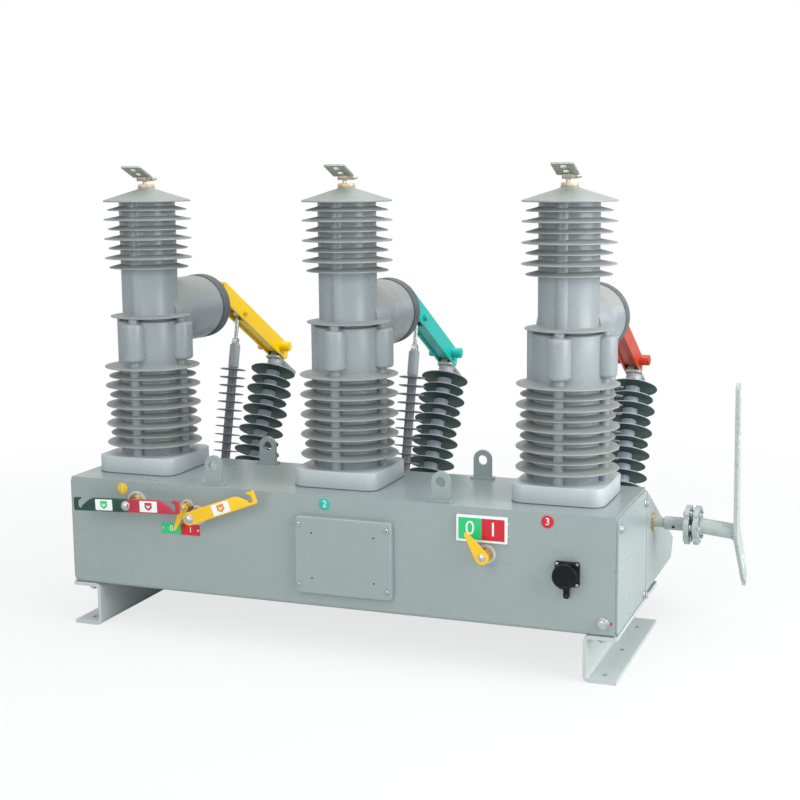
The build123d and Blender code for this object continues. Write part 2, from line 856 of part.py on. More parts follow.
# Handle: a tube that leans down a little, and a flat lever with one arm up and one down to the back,
# each with a notch
tube_x = coupling_x + 2 * coupling_disc + coupling_gap
handle_x = tube_x + tube_length
handle_hub = shaft_centre - Vector(0, 0, handle_drop)


def arm_end(length, angle):
    return (
        handle_hub.Y + length * cos(radians(angle)),
        handle_hub.Z + length * sin(radians(angle)),
    )


with BuildPart() as handle:
    for start, middle in ((tube_x, shaft_centre), (handle_x, handle_hub)):
        with BuildSketch(Plane.YZ.offset(start)):
            with Locations((middle.Y, middle.Z)):
                Circle(tube_radius)
    loft()
    for length, width, angle in (
        (upper_arm_length, upper_arm_width, upper_arm_angle),
        (lower_arm_length, lower_arm_width, lower_arm_angle),
    ):
        with BuildSketch(Plane.YZ.offset(handle_x)):
            with Locations((handle_hub.Y, handle_hub.Z)):
                Circle(handle_hub_radius)
            with Locations(arm_end(length - width / 2, angle)):
                Circle(width / 2)
            make_hull()
        extrude(amount=handle_sheet)
        notch_centre = Vector(*arm_end(length - handle_notch_from_end, angle))
        notch_side = Vector(sin(radians(angle)), -cos(radians(angle)))
        with BuildSketch(Plane.YZ.offset(handle_x)):
            notch = notch_centre + notch_side * (width / 2)
            with Locations((notch.X, notch.Y)):
                Circle(handle_notch_radius)
        extrude(amount=handle_sheet, mode=Mode.SUBTRACT)
handle.part.label = "handle"
export_step(handle.part, "parts/handle.step")


# Levers on the front: flat arms with a hook that opens upwards
def hook_arm(end):
    # Outline of one arm in its own plane, from the pivot to its hook, along +X
    top = lever_height / 2
    throat = end - lever_hook_width
    slope_end = throat - lever_hook_gap
    slope_start = slope_end - lever_hook_slope
    notch = top - lever_hook_drop
    return [
        (0, -top),
        (end - lever_hook_width / 2, -top),
        (end, -top + lever_hook_width / 2),
        (end, top - lever_hook_width / 4),
        (end - lever_hook_width / 4, top),
        (throat - lever_hook_tip, top),
        (throat - lever_hook_tip, top - lever_hook_tip / 3),
        (throat, top - lever_hook_tip),
        (throat, notch),
        (slope_end, notch),
        (slope_start, top),
        (0, top),
    ]


def hook_throat(end):
    # Centre of the round bottom of a hook
    return end - lever_hook_width - lever_hook_gap / 2, lever_height / 2 - lever_hook_drop


trip_centre = (trip_x, foot_height + trip_lift)
charging_centre = (charging_x, foot_height + charging_lift)
with BuildPart() as trip_lever:
    with BuildSketch(facing(tank_front - trip_standoff)):
        with Locations(Location(trip_centre, trip_tilt)):
            Polygon(*hook_arm(lever_end), align=None)
            Polygon(*[(-u, v) for u, v in hook_arm(lever_end)], align=None)
            u, v = hook_throat(lever_end)
            with Locations((u, v), (-u, v)):
                Circle(lever_hook_gap / 2, mode=Mode.SUBTRACT)
    extrude(amount=lever_sheet)
    with BuildSketch(facing(tank_front - spindle_clearance)):
        with Locations(trip_centre):
            Circle(lever_spindle_radius)
    extrude(amount=trip_standoff - spindle_clearance)
trip_lever.part.label = "trip_lever"
export_step(trip_lever.part, "parts/trip_lever.step")

with BuildPart() as charging_lever:
    with BuildSketch(facing(tank_front - charging_standoff)):
        with Locations(Location(charging_centre, charging_tilt)):
            Polygon(*hook_arm(charging_end), align=None)
            Circle(lever_height / 2)
            with Locations(hook_throat(charging_end)):
                Circle(lever_hook_gap / 2, mode=Mode.SUBTRACT)
    extrude(amount=lever_sheet)
    with BuildSketch(facing(tank_front - spindle_clearance)):
        with Locations(charging_centre):
            Circle(lever_spindle_radius)
    extrude(amount=charging_standoff - spindle_clearance)
charging_lever.part.label = "charging_lever"
export_step(charging_lever.part, "parts/charging_lever.step")

with BuildPart() as lever_bushes:
    with BuildSketch(facing(tank_front)):
        with Locations(trip_centre, charging_centre):
            Circle(lever_bush_flange_radius)
    extrude(amount=lever_bush_flange)
    with BuildSketch(facing(tank_front)):
        with Locations(trip_centre, charging_centre):
            Circle(lever_bush_radius)
    extrude(amount=lever_bush_length)
    with BuildSketch(facing(tank_front)):
        with Locations(trip_centre, charging_centre):
            Circle(lever_spindle_radius + running_fit)
    extrude(amount=lever_bush_length, mode=Mode.SUBTRACT)
lever_bushes.part.label = "lever_bushes"
export_step(lever_bushes.part, "parts/lever_bushes.step")

# Pointers: tapered hands on a spindle, over their signs
pointers = (
    ("position_pointer", position_x, position_lift, position_standoff, position_length,
     position_hub_radius, position_tip_radius, position_angle),
    ("charge_pointer", charge_x, charge_lift, charge_standoff, charge_length,
     charge_hub_radius, charge_tip_radius, charge_angle),
)
for name, x, lift, standoff, length, hub, tip, angle in pointers:
    hand_end = (
        x + (length - tip) * cos(radians(angle)),
        foot_height + lift + (length - tip) * sin(radians(angle)),
    )
    with BuildPart() as pointer:
        with BuildSketch(facing(tank_front - standoff)):
            with Locations((x, foot_height + lift)):
                Circle(hub)
            with Locations(hand_end):
                Circle(tip)
            make_hull()
        extrude(amount=pointer_sheet)
        with BuildSketch(facing(tank_front - spindle_clearance)):
            with Locations((x, foot_height + lift)):
                Circle(pointer_spindle_radius)
        extrude(amount=standoff - spindle_clearance)
    pointer.part.label = name
    export_step(pointer.part, f"parts/{name}.step")

with BuildPart() as pointer_bushes:
    for x, lift, radius, length in (
        (position_x, position_lift, position_bush_radius, position_bush_length),
        (charge_x, charge_lift, charge_bush_radius, charge_bush_length),
    ):
        with BuildSketch(facing(tank_front)):
            with Locations((x, foot_height + lift)):
                Circle(radius + pointer_flange_extra)
        extrude(amount=pointer_flange)
        with BuildSketch(facing(tank_front)):
            with Locations((x, foot_height + lift)):
                Circle(radius)
        extrude(amount=length)
        with BuildSketch(facing(tank_front)):
            with Locations((x, foot_height + lift)):
                Circle(pointer_spindle_radius + running_fit)
        extrude(amount=length, mode=Mode.SUBTRACT)
pointer_bushes.part.label = "pointer_bushes"
export_step(pointer_bushes.part, "parts/pointer_bushes.step")

# Sign plates
signs = (
    ("position_sign", position_sign_x, position_sign_lift, position_sign_width, position_sign_height,
     position_sign_sheet),
    ("charge_sign", charge_sign_x, charge_sign_lift, charge_sign_width, charge_sign_height,
     charge_sign_sheet),
)
for name, x, lift, width, height, sheet in signs:
    with BuildPart() as sign:
        with BuildSketch(facing(tank_front)):
            with Locations((x, foot_height + lift)):
                Rectangle(width, height)
        extrude(amount=sheet)
    sign.part.label = name
    export_step(sign.part, f"parts/{name}.step")

# Control socket: a square flange with a round cap and its pull tail
socket_centre = (socket_x, foot_height + socket_lift)
tail_centre = socket_tail_length / 2 - socket_tail_lap
with BuildPart() as control_socket:
    with BuildSketch(facing(tank_front)):
        with Locations(socket_centre):
            RectangleRounded(socket_side, socket_side, socket_corner)
    extrude(amount=socket_flange)
    with BuildSketch(facing(tank_front - socket_flange)):
        with Locations(socket_centre):
            Circle(socket_radius)
    extrude(amount=socket_reach)
    with BuildSketch(facing(tank_front - socket_flange - socket_tail_radius)):
        with Locations((socket_centre[0], socket_centre[1] - socket_radius - tail_centre)):
            SlotOverall(socket_tail_length, 2 * socket_tail_radius, rotation=90)
    extrude(amount=socket_tail_radius)
control_socket.part.label = "control_socket"
export_step(control_socket.part, "parts/control_socket.step")

# Earthing bolt with its washer
earth_centre = (tank_end - earth_from_end, foot_height + earth_lift)
with BuildPart() as earthing_bolt:
    with BuildSketch(facing(tank_front)):
        with Locations(earth_centre):
            Circle(earth_washer_radius)
    extrude(amount=earth_washer)
    with BuildSketch(facing(tank_front - earth_washer)):
        with Locations(earth_centre):
            RegularPolygon(earth_hex_side / 2, 6, major_radius=False)
    extrude(amount=earth_head)
earthing_bolt.part.label = "earthing_bolt"
export_step(earthing_bolt.part, "parts/earthing_bolt.step")
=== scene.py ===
from math import cos, pi, radians, sin, sqrt

import bmesh
import bpy
from mathutils import Matrix, Vector


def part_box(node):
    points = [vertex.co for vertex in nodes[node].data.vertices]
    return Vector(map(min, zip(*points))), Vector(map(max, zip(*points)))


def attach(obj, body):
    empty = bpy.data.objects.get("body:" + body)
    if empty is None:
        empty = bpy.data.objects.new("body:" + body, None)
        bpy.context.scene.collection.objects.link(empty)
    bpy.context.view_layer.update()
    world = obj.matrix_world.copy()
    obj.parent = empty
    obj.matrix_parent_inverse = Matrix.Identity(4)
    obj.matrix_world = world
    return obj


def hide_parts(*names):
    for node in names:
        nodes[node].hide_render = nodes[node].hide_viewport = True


# Outdoor vacuum circuit breaker: three ribbed poles on a steel tank, with disconnector blades,
# pull rods and post insulators behind them. Settings are in millimetres, meshes in metres.

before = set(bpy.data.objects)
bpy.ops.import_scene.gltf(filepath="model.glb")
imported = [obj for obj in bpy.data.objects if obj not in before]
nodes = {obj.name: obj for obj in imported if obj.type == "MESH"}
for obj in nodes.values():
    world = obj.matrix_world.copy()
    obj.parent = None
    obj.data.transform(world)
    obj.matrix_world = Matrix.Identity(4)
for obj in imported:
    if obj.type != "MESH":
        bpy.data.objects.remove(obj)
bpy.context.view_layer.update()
print("frame loaded with", len(nodes), "nodes")


# Places read from the frame, in millimetres
def nodeBox(name):
    low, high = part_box(name)
    return low * 1000, high * 1000


tankLow, tankHigh = nodeBox("tank")
coverLow, coverHigh = nodeBox("end_covers")
tankFront = tankLow.y
tankTop = tankHigh.z
tankEnd = coverHigh.x
poleLetters = "abc"
poleX = [(nodeBox("pole_" + letter)[0].x + nodeBox("pole_" + letter)[1].x) / 2 for letter in poleLetters]
poleY = (nodeBox("terminal_studs")[0].y + nodeBox("terminal_studs")[1].y) / 2
across = Vector((1, 0, 0))
roofSlope = radians(28.8)
downSlope = Vector((0, cos(roofSlope), -sin(roofSlope)))
offRoof = Vector((0, sin(roofSlope), cos(roofSlope)))
hinge = Vector((0, poleY + 326.4, tankTop + 381))
crankReach = Vector((0, 132.6 * cos(radians(25)), -132.6 * sin(radians(25))))
bladePin = hinge + crankReach
shaftAxis = Vector((0, tankHigh.y + 71, tankTop - 94))
rodLine = (shaftAxis - hinge).normalized()
postFoot = Vector((12, 0, 0)) + hinge + downSlope * 375.9 - offRoof * 432.8


def frontPlace(x, z, out=0, turn=0):  # X right, Y up, Z out of the tank's front
    origin = Matrix.Translation((x, tankFront - out, z))
    return origin @ Matrix.Rotation(pi / 2, 4, "X") @ Matrix.Rotation(radians(turn), 4, "Z")


def axisPlace(origin, axis, side=across):  # Z along the axis, X near the side given
    zAxis = Vector(axis).normalized()
    yAxis = zAxis.cross(side).normalized()
    xAxis = yAxis.cross(zAxis)
    turn = Matrix((xAxis, yAxis, zAxis)).transposed().to_4x4()
    return Matrix.Translation(origin) @ turn


def bladePlace(x, u, w, out=0):  # X down the blade, Y off the roof, Z to the right
    turn = Matrix((downSlope, offRoof, across)).transposed().to_4x4()
    return Matrix.Translation(hinge + across * (x + out) + downSlope * u + offRoof * w) @ turn


def endPlace(x, y, z, turn=0):  # Z out of the tank's right end
    return Matrix.Translation((x, y, z)) @ Matrix.Rotation(pi / 2, 4, "Y") @ Matrix.Rotation(radians(turn), 4, "Z")


# Shapes
def wire(bm, points, closed=False):  # a chain of (x, y, rounding), laid in the XY plane
    verts = [bm.verts.new((x, y, 0)) for x, y, size in points]
    pairs = list(zip(verts, verts[1:]))
    if closed:
        pairs.append((verts[-1], verts[0]))
    for pair in pairs:
        bm.edges.new(pair)
    for size in sorted({point[2] for point in points if point[2]}):
        corners = [vert for vert, point in zip(verts, points) if point[2] == size]
        bmesh.ops.bevel(bm, geom=corners, offset=size, offset_type="OFFSET", affect="VERTICES",
                        segments=4, profile=0.5, material=-1)


def turned(points, steps=64):  # (radius, height, rounding) spun about Z
    bm = bmesh.new()
    wire(bm, points)
    bmesh.ops.rotate(bm, verts=bm.verts, cent=(0, 0, 0), matrix=Matrix.Rotation(pi / 2, 3, "X"))
    bmesh.ops.spin(bm, geom=bm.verts[:] + bm.edges[:], cent=(0, 0, 0), axis=(0, 0, 1), angle=2 * pi,
                   steps=steps, use_merge=True)
    bmesh.ops.remove_doubles(bm, verts=bm.verts, dist=0.001)
    bmesh.ops.recalc_face_normals(bm, faces=bm.faces)
    return bm


def bar(radius, height, rounding=0.8, steps=32):  # a turned bar with softened ends, from Z 0 up
    return turned([(0, 0, 0), (radius, 0, rounding), (radius, height, rounding), (0, height, 0)], steps)


def soften(bm, size, segments=2, angle=35):
    sharp = [edge for edge in bm.edges if edge.is_manifold and edge.calc_face_angle(0) > radians(angle)]
    bmesh.ops.bevel(bm, geom=sharp, offset=size, offset_type="OFFSET", affect="EDGES", segments=segments,
                    profile=0.5, material=-1, clamp_overlap=True)


def plate(outline, thickness, holes=(), edge=0.6):  # a flat piece from Z 0 up
    bm = bmesh.new()
    wire(bm, outline, closed=True)
    for x, y, radius in holes:
        bmesh.ops.create_circle(bm, segments=24, radius=radius, matrix=Matrix.Translation((x, y, 0)))
    bmesh.ops.triangle_fill(bm, edges=bm.edges, use_beauty=True)
    if not holes:
        bmesh.ops.dissolve_faces(bm, faces=bm.faces)
    grown = bmesh.ops.extrude_face_region(bm, geom=bm.faces[:])
    lifted = [item for item in grown["geom"] if isinstance(item, bmesh.types.BMVert)]
    bmesh.ops.translate(bm, verts=lifted, vec=(0, 0, thickness))
    bmesh.ops.recalc_face_normals(bm, faces=bm.faces)
    if edge:
        soften(bm, edge)
    return bm


def oblong(width, height, corner, x=0, y=0):  # outline of a rounded rectangle
    return [(x + sideX * width / 2, y + sideY * height / 2, corner)
            for sideX, sideY in ((-1, -1), (1, -1), (1, 1), (-1, 1))]


def hexagon(flats, height, chamfer=0.8):
    bm = bmesh.new()
    bmesh.ops.create_cone(bm, cap_ends=True, segments=6, radius1=flats / sqrt(3), radius2=flats / sqrt(3),
                          depth=height, matrix=Matrix.Translation((0, 0, height / 2)))
    soften(bm, chamfer, segments=2)
    return bm


def numeral(figure, height, thickness=0.3):  # a plain printed figure, centred
    curve = bpy.data.curves.new("figure", "FONT")
    curve.body = figure
    curve.align_x = "CENTER"
    curve.align_y = "CENTER"
    curve.size = height * 1.4
    curve.extrude = thickness / 2
    holder = bpy.data.objects.new("figure", curve)
    mesh = bpy.data.meshes.new_from_object(holder)
    bm = bmesh.new()
    bm.from_mesh(mesh)
    bpy.data.objects.remove(holder)
    bpy.data.curves.remove(curve)
    bpy.data.meshes.remove(mesh)
    bmesh.ops.remove_doubles(bm, verts=bm.verts, dist=0.001)
    return bm


def addTo(whole, part, place=Matrix(), finish=None):  # joins a part to a piece, where it belongs
    if finish is not None:
        for face in part.faces:
            face.material_index = finish
    bmesh.ops.transform(part, matrix=place, verts=part.verts)
    mesh = bpy.data.meshes.new("part")
    part.to_mesh(mesh)
    part.free()
    whole.from_mesh(mesh)
    bpy.data.meshes.remove(mesh)


def finishPiece(bm, name, materials, body, stands=(), sharp=32):
    bmesh.ops.recalc_face_normals(bm, faces=bm.faces)
    bmesh.ops.scale(bm, vec=(0.001, 0.001, 0.001), verts=bm.verts)
    mesh = bpy.data.meshes.new(name)
    bm.to_mesh(mesh)
    bm.free()
    mesh.shade_smooth()
    mesh.set_sharp_from_angle(angle=radians(sharp))
    for material in materials:
        mesh.materials.append(material)
    piece = bpy.data.objects.new(name, mesh)
    bpy.context.scene.collection.objects.link(piece)
    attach(piece, body)
    if stands:
        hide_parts(*stands)
    return piece


# Materials
def linearColour(code):
    parts = [int(code[start:start + 2], 16) / 255 for start in (1, 3, 5)]
    return [part / 12.92 if part <= 0.04045 else ((part + 0.055) / 1.055) ** 2.4 for part in parts] + [1]


def addNode(tree, kind, settings=None, links=None):
    node = tree.nodes.new(kind)
    for name, value in (settings or {}).items():
        if isinstance(name, int) or name in node.inputs:
            node.inputs[name].default_value = value
        else:
            setattr(node, name, value)
    for name, source in (links or {}).items():
        tree.links.new(source, node.inputs[name])
    return node


def surface(name, look):
    # One layered finish: cloudy colour, stains, paler worn edges, fine grain and uneven gloss
    material = bpy.data.materials.new(name)
    material.use_nodes = True
    tree = material.node_tree
    tree.nodes.clear()
    place = addNode(tree, "ShaderNodeTexCoord").outputs["Object"]
    cloud = addNode(tree, "ShaderNodeTexNoise", {"Scale": 1000 / look["cloud"], "Detail": 5, "Roughness": 0.6},
                    {"Vector": place})
    grain = addNode(tree, "ShaderNodeTexNoise", {"Scale": 1000 / look["grain"], "Detail": 3}, {"Vector": place})
    tint = addNode(tree, "ShaderNodeMix",
                   {"data_type": "RGBA", 6: linearColour(look["colour"]), 7: linearColour(look["shade"])},
                   {0: cloud.outputs["Fac"]})
    colour = tint.outputs[2]
    if look.get("stain"):
        blot = addNode(tree, "ShaderNodeTexNoise", {"Scale": 1000 / look["stainSize"], "Detail": 6, "Roughness": 0.7},
                       {"Vector": place})
        share = addNode(tree, "ShaderNodeMapRange",
                        {"From Min": look["stainFrom"], "From Max": look["stainFrom"] + 0.12,
                         "To Min": 0, "To Max": look["stainShare"]}, {"Value": blot.outputs["Fac"]})
        stained = addNode(tree, "ShaderNodeMix", {"data_type": "RGBA", 7: linearColour(look["stain"])},
                          {0: share.outputs["Result"], 6: colour})
        colour = stained.outputs[2]
    rounded = addNode(tree, "ShaderNodeBevel", {"samples": 4, "Radius": look.get("edge", 1.2) / 1000})
    if look.get("wear"):
        straight = addNode(tree, "ShaderNodeNewGeometry")
        bend = addNode(tree, "ShaderNodeVectorMath", {"operation": "DOT_PRODUCT"},
                       {0: rounded.outputs["Normal"], 1: straight.outputs["Normal"]})
        edge = addNode(tree, "ShaderNodeMapRange",
                       {"From Min": 0.99, "From Max": 0.8, "To Min": 0, "To Max": look["wear"]},
                       {"Value": bend.outputs["Value"]})
        worn = addNode(tree, "ShaderNodeMix", {"data_type": "RGBA", 7: linearColour(look["worn"])},
                       {0: edge.outputs["Result"], 6: colour})
        colour = worn.outputs[2]
    gloss = addNode(tree, "ShaderNodeMapRange",
                    {"From Min": 0.3, "From Max": 0.7, "To Min": look["rough"] - look["uneven"],
                     "To Max": look["rough"] + look["uneven"]}, {"Value": cloud.outputs["Fac"]})
    bump = addNode(tree, "ShaderNodeBump", {"Strength": look["relief"], "Distance": look["grain"] / 8000},
                   {"Height": grain.outputs["Fac"], "Normal": rounded.outputs["Normal"]})
    shader = addNode(tree, "ShaderNodeBsdfPrincipled",
                     {"Metallic": look.get("metal", 0), "Specular IOR Level": look.get("specular", 0.5)},
                     {"Base Color": colour, "Roughness": gloss.outputs["Result"], "Normal": bump.outputs["Normal"]})
    addNode(tree, "ShaderNodeOutputMaterial", None, {"Surface": shader.outputs["BSDF"]})
    return material


# Sprayed polyurethane enamel: even satin coat with a faint orange peel, drawn coarse so that it shows
tankEnamel = surface("sprayedEnamel", {
    "colour": "#96A2A2", "shade": "#8F9B9B", "worn": "#C6CECC", "cloud": 180, "grain": 9, "rough": 0.3,
    "uneven": 0.05, "relief": 0.08, "edge": 1.2, "wear": 0.15, "stain": "#A9B3B1", "stainSize": 90,
    "stainFrom": 0.58, "stainShare": 0.2})
# The paler enamel of the feet
footEnamel = surface("footEnamel", {
    "colour": "#BEC6C4", "shade": "#B6BFBD", "worn": "#D2D8D6", "cloud": 120, "grain": 9, "rough": 0.36,
    "uneven": 0.06, "relief": 0.1, "edge": 1.6, "wear": 0.35})
# The same enamel on the shaft's parts, bluer and handled more, with darker smears
shaftEnamel = surface("shaftEnamel", {
    "colour": "#B2BCBA", "shade": "#A0ABAA", "worn": "#CDD5D2", "cloud": 40, "grain": 6, "rough": 0.36,
    "uneven": 0.08, "relief": 0.12, "edge": 1.2, "wear": 0.35, "stain": "#707D7E", "stainSize": 20,
    "stainFrom": 0.56, "stainShare": 0.5})
# Cast silicone rubber: blue-grey with a soft mould gloss. Its upward faces take a warmer, duller copy, which is partly
# dust and partly painted sky light on the tops
poleRubber = surface("castSilicone", {
    "colour": "#979FA3", "shade": "#8B9398", "worn": "#B4BBBD", "cloud": 60, "grain": 5, "rough": 0.3,
    "uneven": 0.07, "relief": 0.08, "edge": 1.0, "wear": 0.4})
dustAndSkyLightRubber = surface("dustAndSkyLightSilicone", {
    "colour": "#9B9F9C", "shade": "#8C918F", "worn": "#B9BEBD", "cloud": 45, "grain": 4, "rough": 0.5,
    "uneven": 0.08, "relief": 0.12, "edge": 1.0, "wear": 0.5})
# A paler copy of the same rubber for the flange: painted light, standing for its lit top and bright rims
litFlangeRubber = surface("litFlangeSilicone", {
    "colour": "#B9C1C3", "shade": "#AEB6B9", "worn": "#D0D5D5", "cloud": 60, "grain": 5, "rough": 0.34,
    "uneven": 0.07, "relief": 0.1, "edge": 1.2, "wear": 0.5})
# Silicone rubber of the posts: grey-lilac cores, with the undersides painted dark green as shade tinted by a reflected
# green
postRubber = surface("liftedSilicone", {
    "colour": "#B1B4C1", "shade": "#9EA1AF", "worn": "#C0C3CB", "cloud": 40, "grain": 4, "rough": 0.42,
    "uneven": 0.08, "relief": 0.1, "wear": 0.4})
postShadedUnderside = surface("shadedGreenSilicone", {
    "colour": "#2B5146", "shade": "#23443B", "worn": "#54695F", "cloud": 40, "grain": 4, "rough": 0.55,
    "uneven": 0.08, "relief": 0.1, "wear": 0.3, "specular": 0.3})
rodRubber = surface("rodSilicone", {
    "colour": "#918F97", "shade": "#7F7E88", "worn": "#B0B1B6", "cloud": 30, "grain": 4, "rough": 0.45,
    "uneven": 0.08, "relief": 0.1, "wear": 0.4})
sleeveRubber = surface("sleeveSilicone", {
    "colour": "#A3A9AC", "shade": "#92989C", "worn": "#C2C6C8", "cloud": 30, "grain": 4, "rough": 0.42,
    "uneven": 0.08, "relief": 0.1, "wear": 0.4})
# Dark moulded rubber with a dull bloom
darkRubber = surface("mouldedRubber", {
    "colour": "#5C6369", "shade": "#4E555A", "worn": "#747B81", "cloud": 30, "grain": 5, "rough": 0.5,
    "uneven": 0.08, "relief": 0.15, "wear": 0.3})
# Tinned copper: grey-green weathered metal with dark specks and brown stains
tinnedCopper = surface("tinnedCopper", {
    "colour": "#B4BAB0", "shade": "#8B9388", "worn": "#F0F2EA", "cloud": 5, "grain": 2, "rough": 0.42,
    "uneven": 0.12, "relief": 0.25, "metal": 0.4, "wear": 0.7, "stain": "#6A6F66", "stainSize": 4,
    "stainFrom": 0.54, "stainShare": 0.7})
# Brown heat stain on the clamps
stainedCopper = surface("stainedCopper", {
    "colour": "#A98B66", "shade": "#8E979A", "worn": "#E6E4D8", "cloud": 12, "grain": 2, "rough": 0.4,
    "uneven": 0.12, "relief": 0.2, "metal": 0.4, "wear": 0.6})
# Turned brass: warm yellow metal with a soft sheen
turnedBrass = surface("turnedBrass", {
    "colour": "#CDB48A", "shade": "#AE9468", "worn": "#EBDCBC", "cloud": 12, "grain": 2, "rough": 0.32,
    "uneven": 0.08, "relief": 0.1, "metal": 0.85, "wear": 0.4})
# Bright zinc plating: cold silver with a slight cloud
brightZinc = surface("brightZinc", {
    "colour": "#C9CBC8", "shade": "#9FA29D", "worn": "#EFEFEC", "cloud": 10, "grain": 2, "rough": 0.28,
    "uneven": 0.08, "relief": 0.1, "metal": 0.95, "wear": 0.4, "stain": "#6B675E", "stainSize": 6,
    "stainFrom": 0.58, "stainShare": 0.5})
# Sand-cast aluminium of the post ends: pale, matt, faintly grainy
castAlloy = surface("castAluminium", {
    "colour": "#B4B5B9", "shade": "#9FA1A6", "worn": "#DADBDD", "cloud": 12, "grain": 2, "rough": 0.5,
    "uneven": 0.08, "relief": 0.25, "metal": 0.3, "wear": 0.4})
# Brass of the studs under thick tinning, which leaves it cream
creamBrass = surface("creamBrass", {
    "colour": "#E6D3B4", "shade": "#CDB48C", "worn": "#F6ECD8", "cloud": 10, "grain": 2, "rough": 0.35,
    "uneven": 0.08, "relief": 0.1, "metal": 0.4, "wear": 0.3})
# Bright tin on the clamps' studs
brightTin = surface("brightTin", {
    "colour": "#F1F2F0", "shade": "#DEE0DD", "worn": "#FFFFFF", "cloud": 10, "grain": 2, "rough": 0.35,
    "uneven": 0.08, "relief": 0.1, "metal": 0.3, "wear": 0.3})
# Milky nylon of the flat rings behind the bushes
palePaint = surface("milkyNylon", {
    "colour": "#C6CDCC", "shade": "#B4BBBA", "worn": "#E6EAE9", "cloud": 14, "grain": 3, "rough": 0.35,
    "uneven": 0.08, "relief": 0.1, "wear": 0.4})
# Blackened copper of the contact fingers, with pale worn edges that also serve as painted highlights
fingerCopper = surface("blackenedCopper", {
    "colour": "#4A3A30", "shade": "#2E2622", "worn": "#C9B8A2", "cloud": 7, "grain": 2, "rough": 0.4,
    "uneven": 0.1, "relief": 0.2, "metal": 0.7, "wear": 0.8})
# Gloss alkyd enamel on the blades, one colour for each phase
bladeEnamels = {
    "a": surface("yellowEnamel", {"colour": "#FFD600", "shade": "#FCCB00", "worn": "#FFE36A", "cloud": 60,
                                  "grain": 8, "rough": 0.3, "uneven": 0.05, "relief": 0.1, "wear": 0.4}),
    "b": surface("turquoiseEnamel", {"colour": "#0CC4B8", "shade": "#0AB5AA", "worn": "#6ADDD2", "cloud": 60,
                                     "grain": 8, "rough": 0.3, "uneven": 0.05, "relief": 0.1, "wear": 0.4}),
    "c": surface("redEnamel", {"colour": "#C94325", "shade": "#B8381F", "worn": "#E88468", "cloud": 60,
                               "grain": 8, "rough": 0.3, "uneven": 0.05, "relief": 0.1, "wear": 0.4}),
}
# Stove enamel on the small levers and pointers
leverGreen = surface("greenStoveEnamel", {
    "colour": "#084236", "shade": "#06382E", "worn": "#4F8578", "cloud": 30, "grain": 6, "rough": 0.35,
    "uneven": 0.05, "relief": 0.1, "wear": 0.4})
leverRed = surface("redStoveEnamel", {
    "colour": "#BC2A42", "shade": "#AE2139", "worn": "#E2798A", "cloud": 30, "grain": 6, "rough": 0.35,
    "uneven": 0.05, "relief": 0.1, "wear": 0.4})
leverYellow = surface("yellowStoveEnamel", {
    "colour": "#F6C40A", "shade": "#EBB706", "worn": "#FBE07C", "cloud": 30, "grain": 6, "rough": 0.35,
    "uneven": 0.05, "relief": 0.1, "wear": 0.4})
# Printed sign plates and stickers: flat clean colours under a clear gloss
printLook = {"cloud": 40, "grain": 6, "rough": 0.35, "uneven": 0.03, "relief": 0.03}
printWhite = surface("printWhite", {"colour": "#F0F3F2", "shade": "#E4E9E8", **printLook})
printGreen = surface("printGreen", {"colour": "#1FC878", "shade": "#19BC6F", **printLook})
printRed = surface("printRed", {"colour": "#CC1428", "shade": "#C01024", **printLook})
printTurquoise = surface("printTurquoise", {"colour": "#12B9A9", "shade": "#10AC9D", **printLook})
printYellow = surface("printYellow", {"colour": "#EFC51C", "shade": "#E6BA14", **printLook})
printOrange = surface("printOrange", {"colour": "#E8902A", "shade": "#DE8420", **printLook})
# Injection-moulded black plastic: fine matt grain with soft highlights
blackPlastic = surface("mouldedPlastic", {
    "colour": "#06090A", "shade": "#040607", "worn": "#2A3134", "cloud": 25, "grain": 4, "rough": 0.35,
    "uneven": 0.06, "relief": 0.12, "wear": 0.3, "specular": 0.2})
# Dark shadow inside screw sockets and holes
darkHollow = surface("darkHollow", {"colour": "#15181A", "shade": "#0E1011", "cloud": 20, "grain": 4,
                                    "rough": 0.8, "uneven": 0.05, "relief": 0.1})
print("materials made")


# Poles: one casting on a flange, with sheds, four ribs, two bolt lobes, a rain cap and a rear barrel
poleLook = {
    "flange": 200, "flangeHeight": 40, "flangeCorner": 28, "flangeEdge": 2.5, "gasketShadowLine": 201.5, "gasketShadowLineHeight": 2.2,
    "core": 72, "rib": 11.5, "ribOffset": 78, "lowerTop": 243, "lowerPitch": 22.4, "lowerCount": 9,
    "lowerLarge": 110, "lowerSmall": 101, "body": 77, "bodyTop": 352, "bodyCorner": 6, "lobe": 25,
    "lobeOffset": 80, "lobeStart": 261, "lobeHeight": 87, "lobeCorner": 7, "collar": 92.5, "collarHeight": 360,
    "column": 64.5, "columnRib": 15, "columnRibOffset": 56, "upperPitch": 22, "upperCount": 7,
    "upperLarge": 100, "upperSmall": 91, "rim": 100, "rimHeight": 627, "rimThickness": 3.5, "capTop": 655,
    "capNeck": 20, "barrelHeight": 361, "barrelNeck": 70, "barrel": 77.5, "barrelTaper": 75,
    "barrelShoulder": 97, "barrelReach": 220, "root": 5.5, "tip": 2.6, "fall": 5.5, "step": 206, "stepDepth": 1.4}


def shedLine(core, sheds, root, tip, fall):  # wall of an insulator with its sheds, from the bottom up
    points = []
    for reach, height in sheds:
        points += [(core, height + fall - root / 2, 1.6), (reach, height - tip / 2, tip * 0.45),
                   (reach, height + tip / 2, tip * 0.45), (core, height + fall + root / 2, 1.6)]
    return points


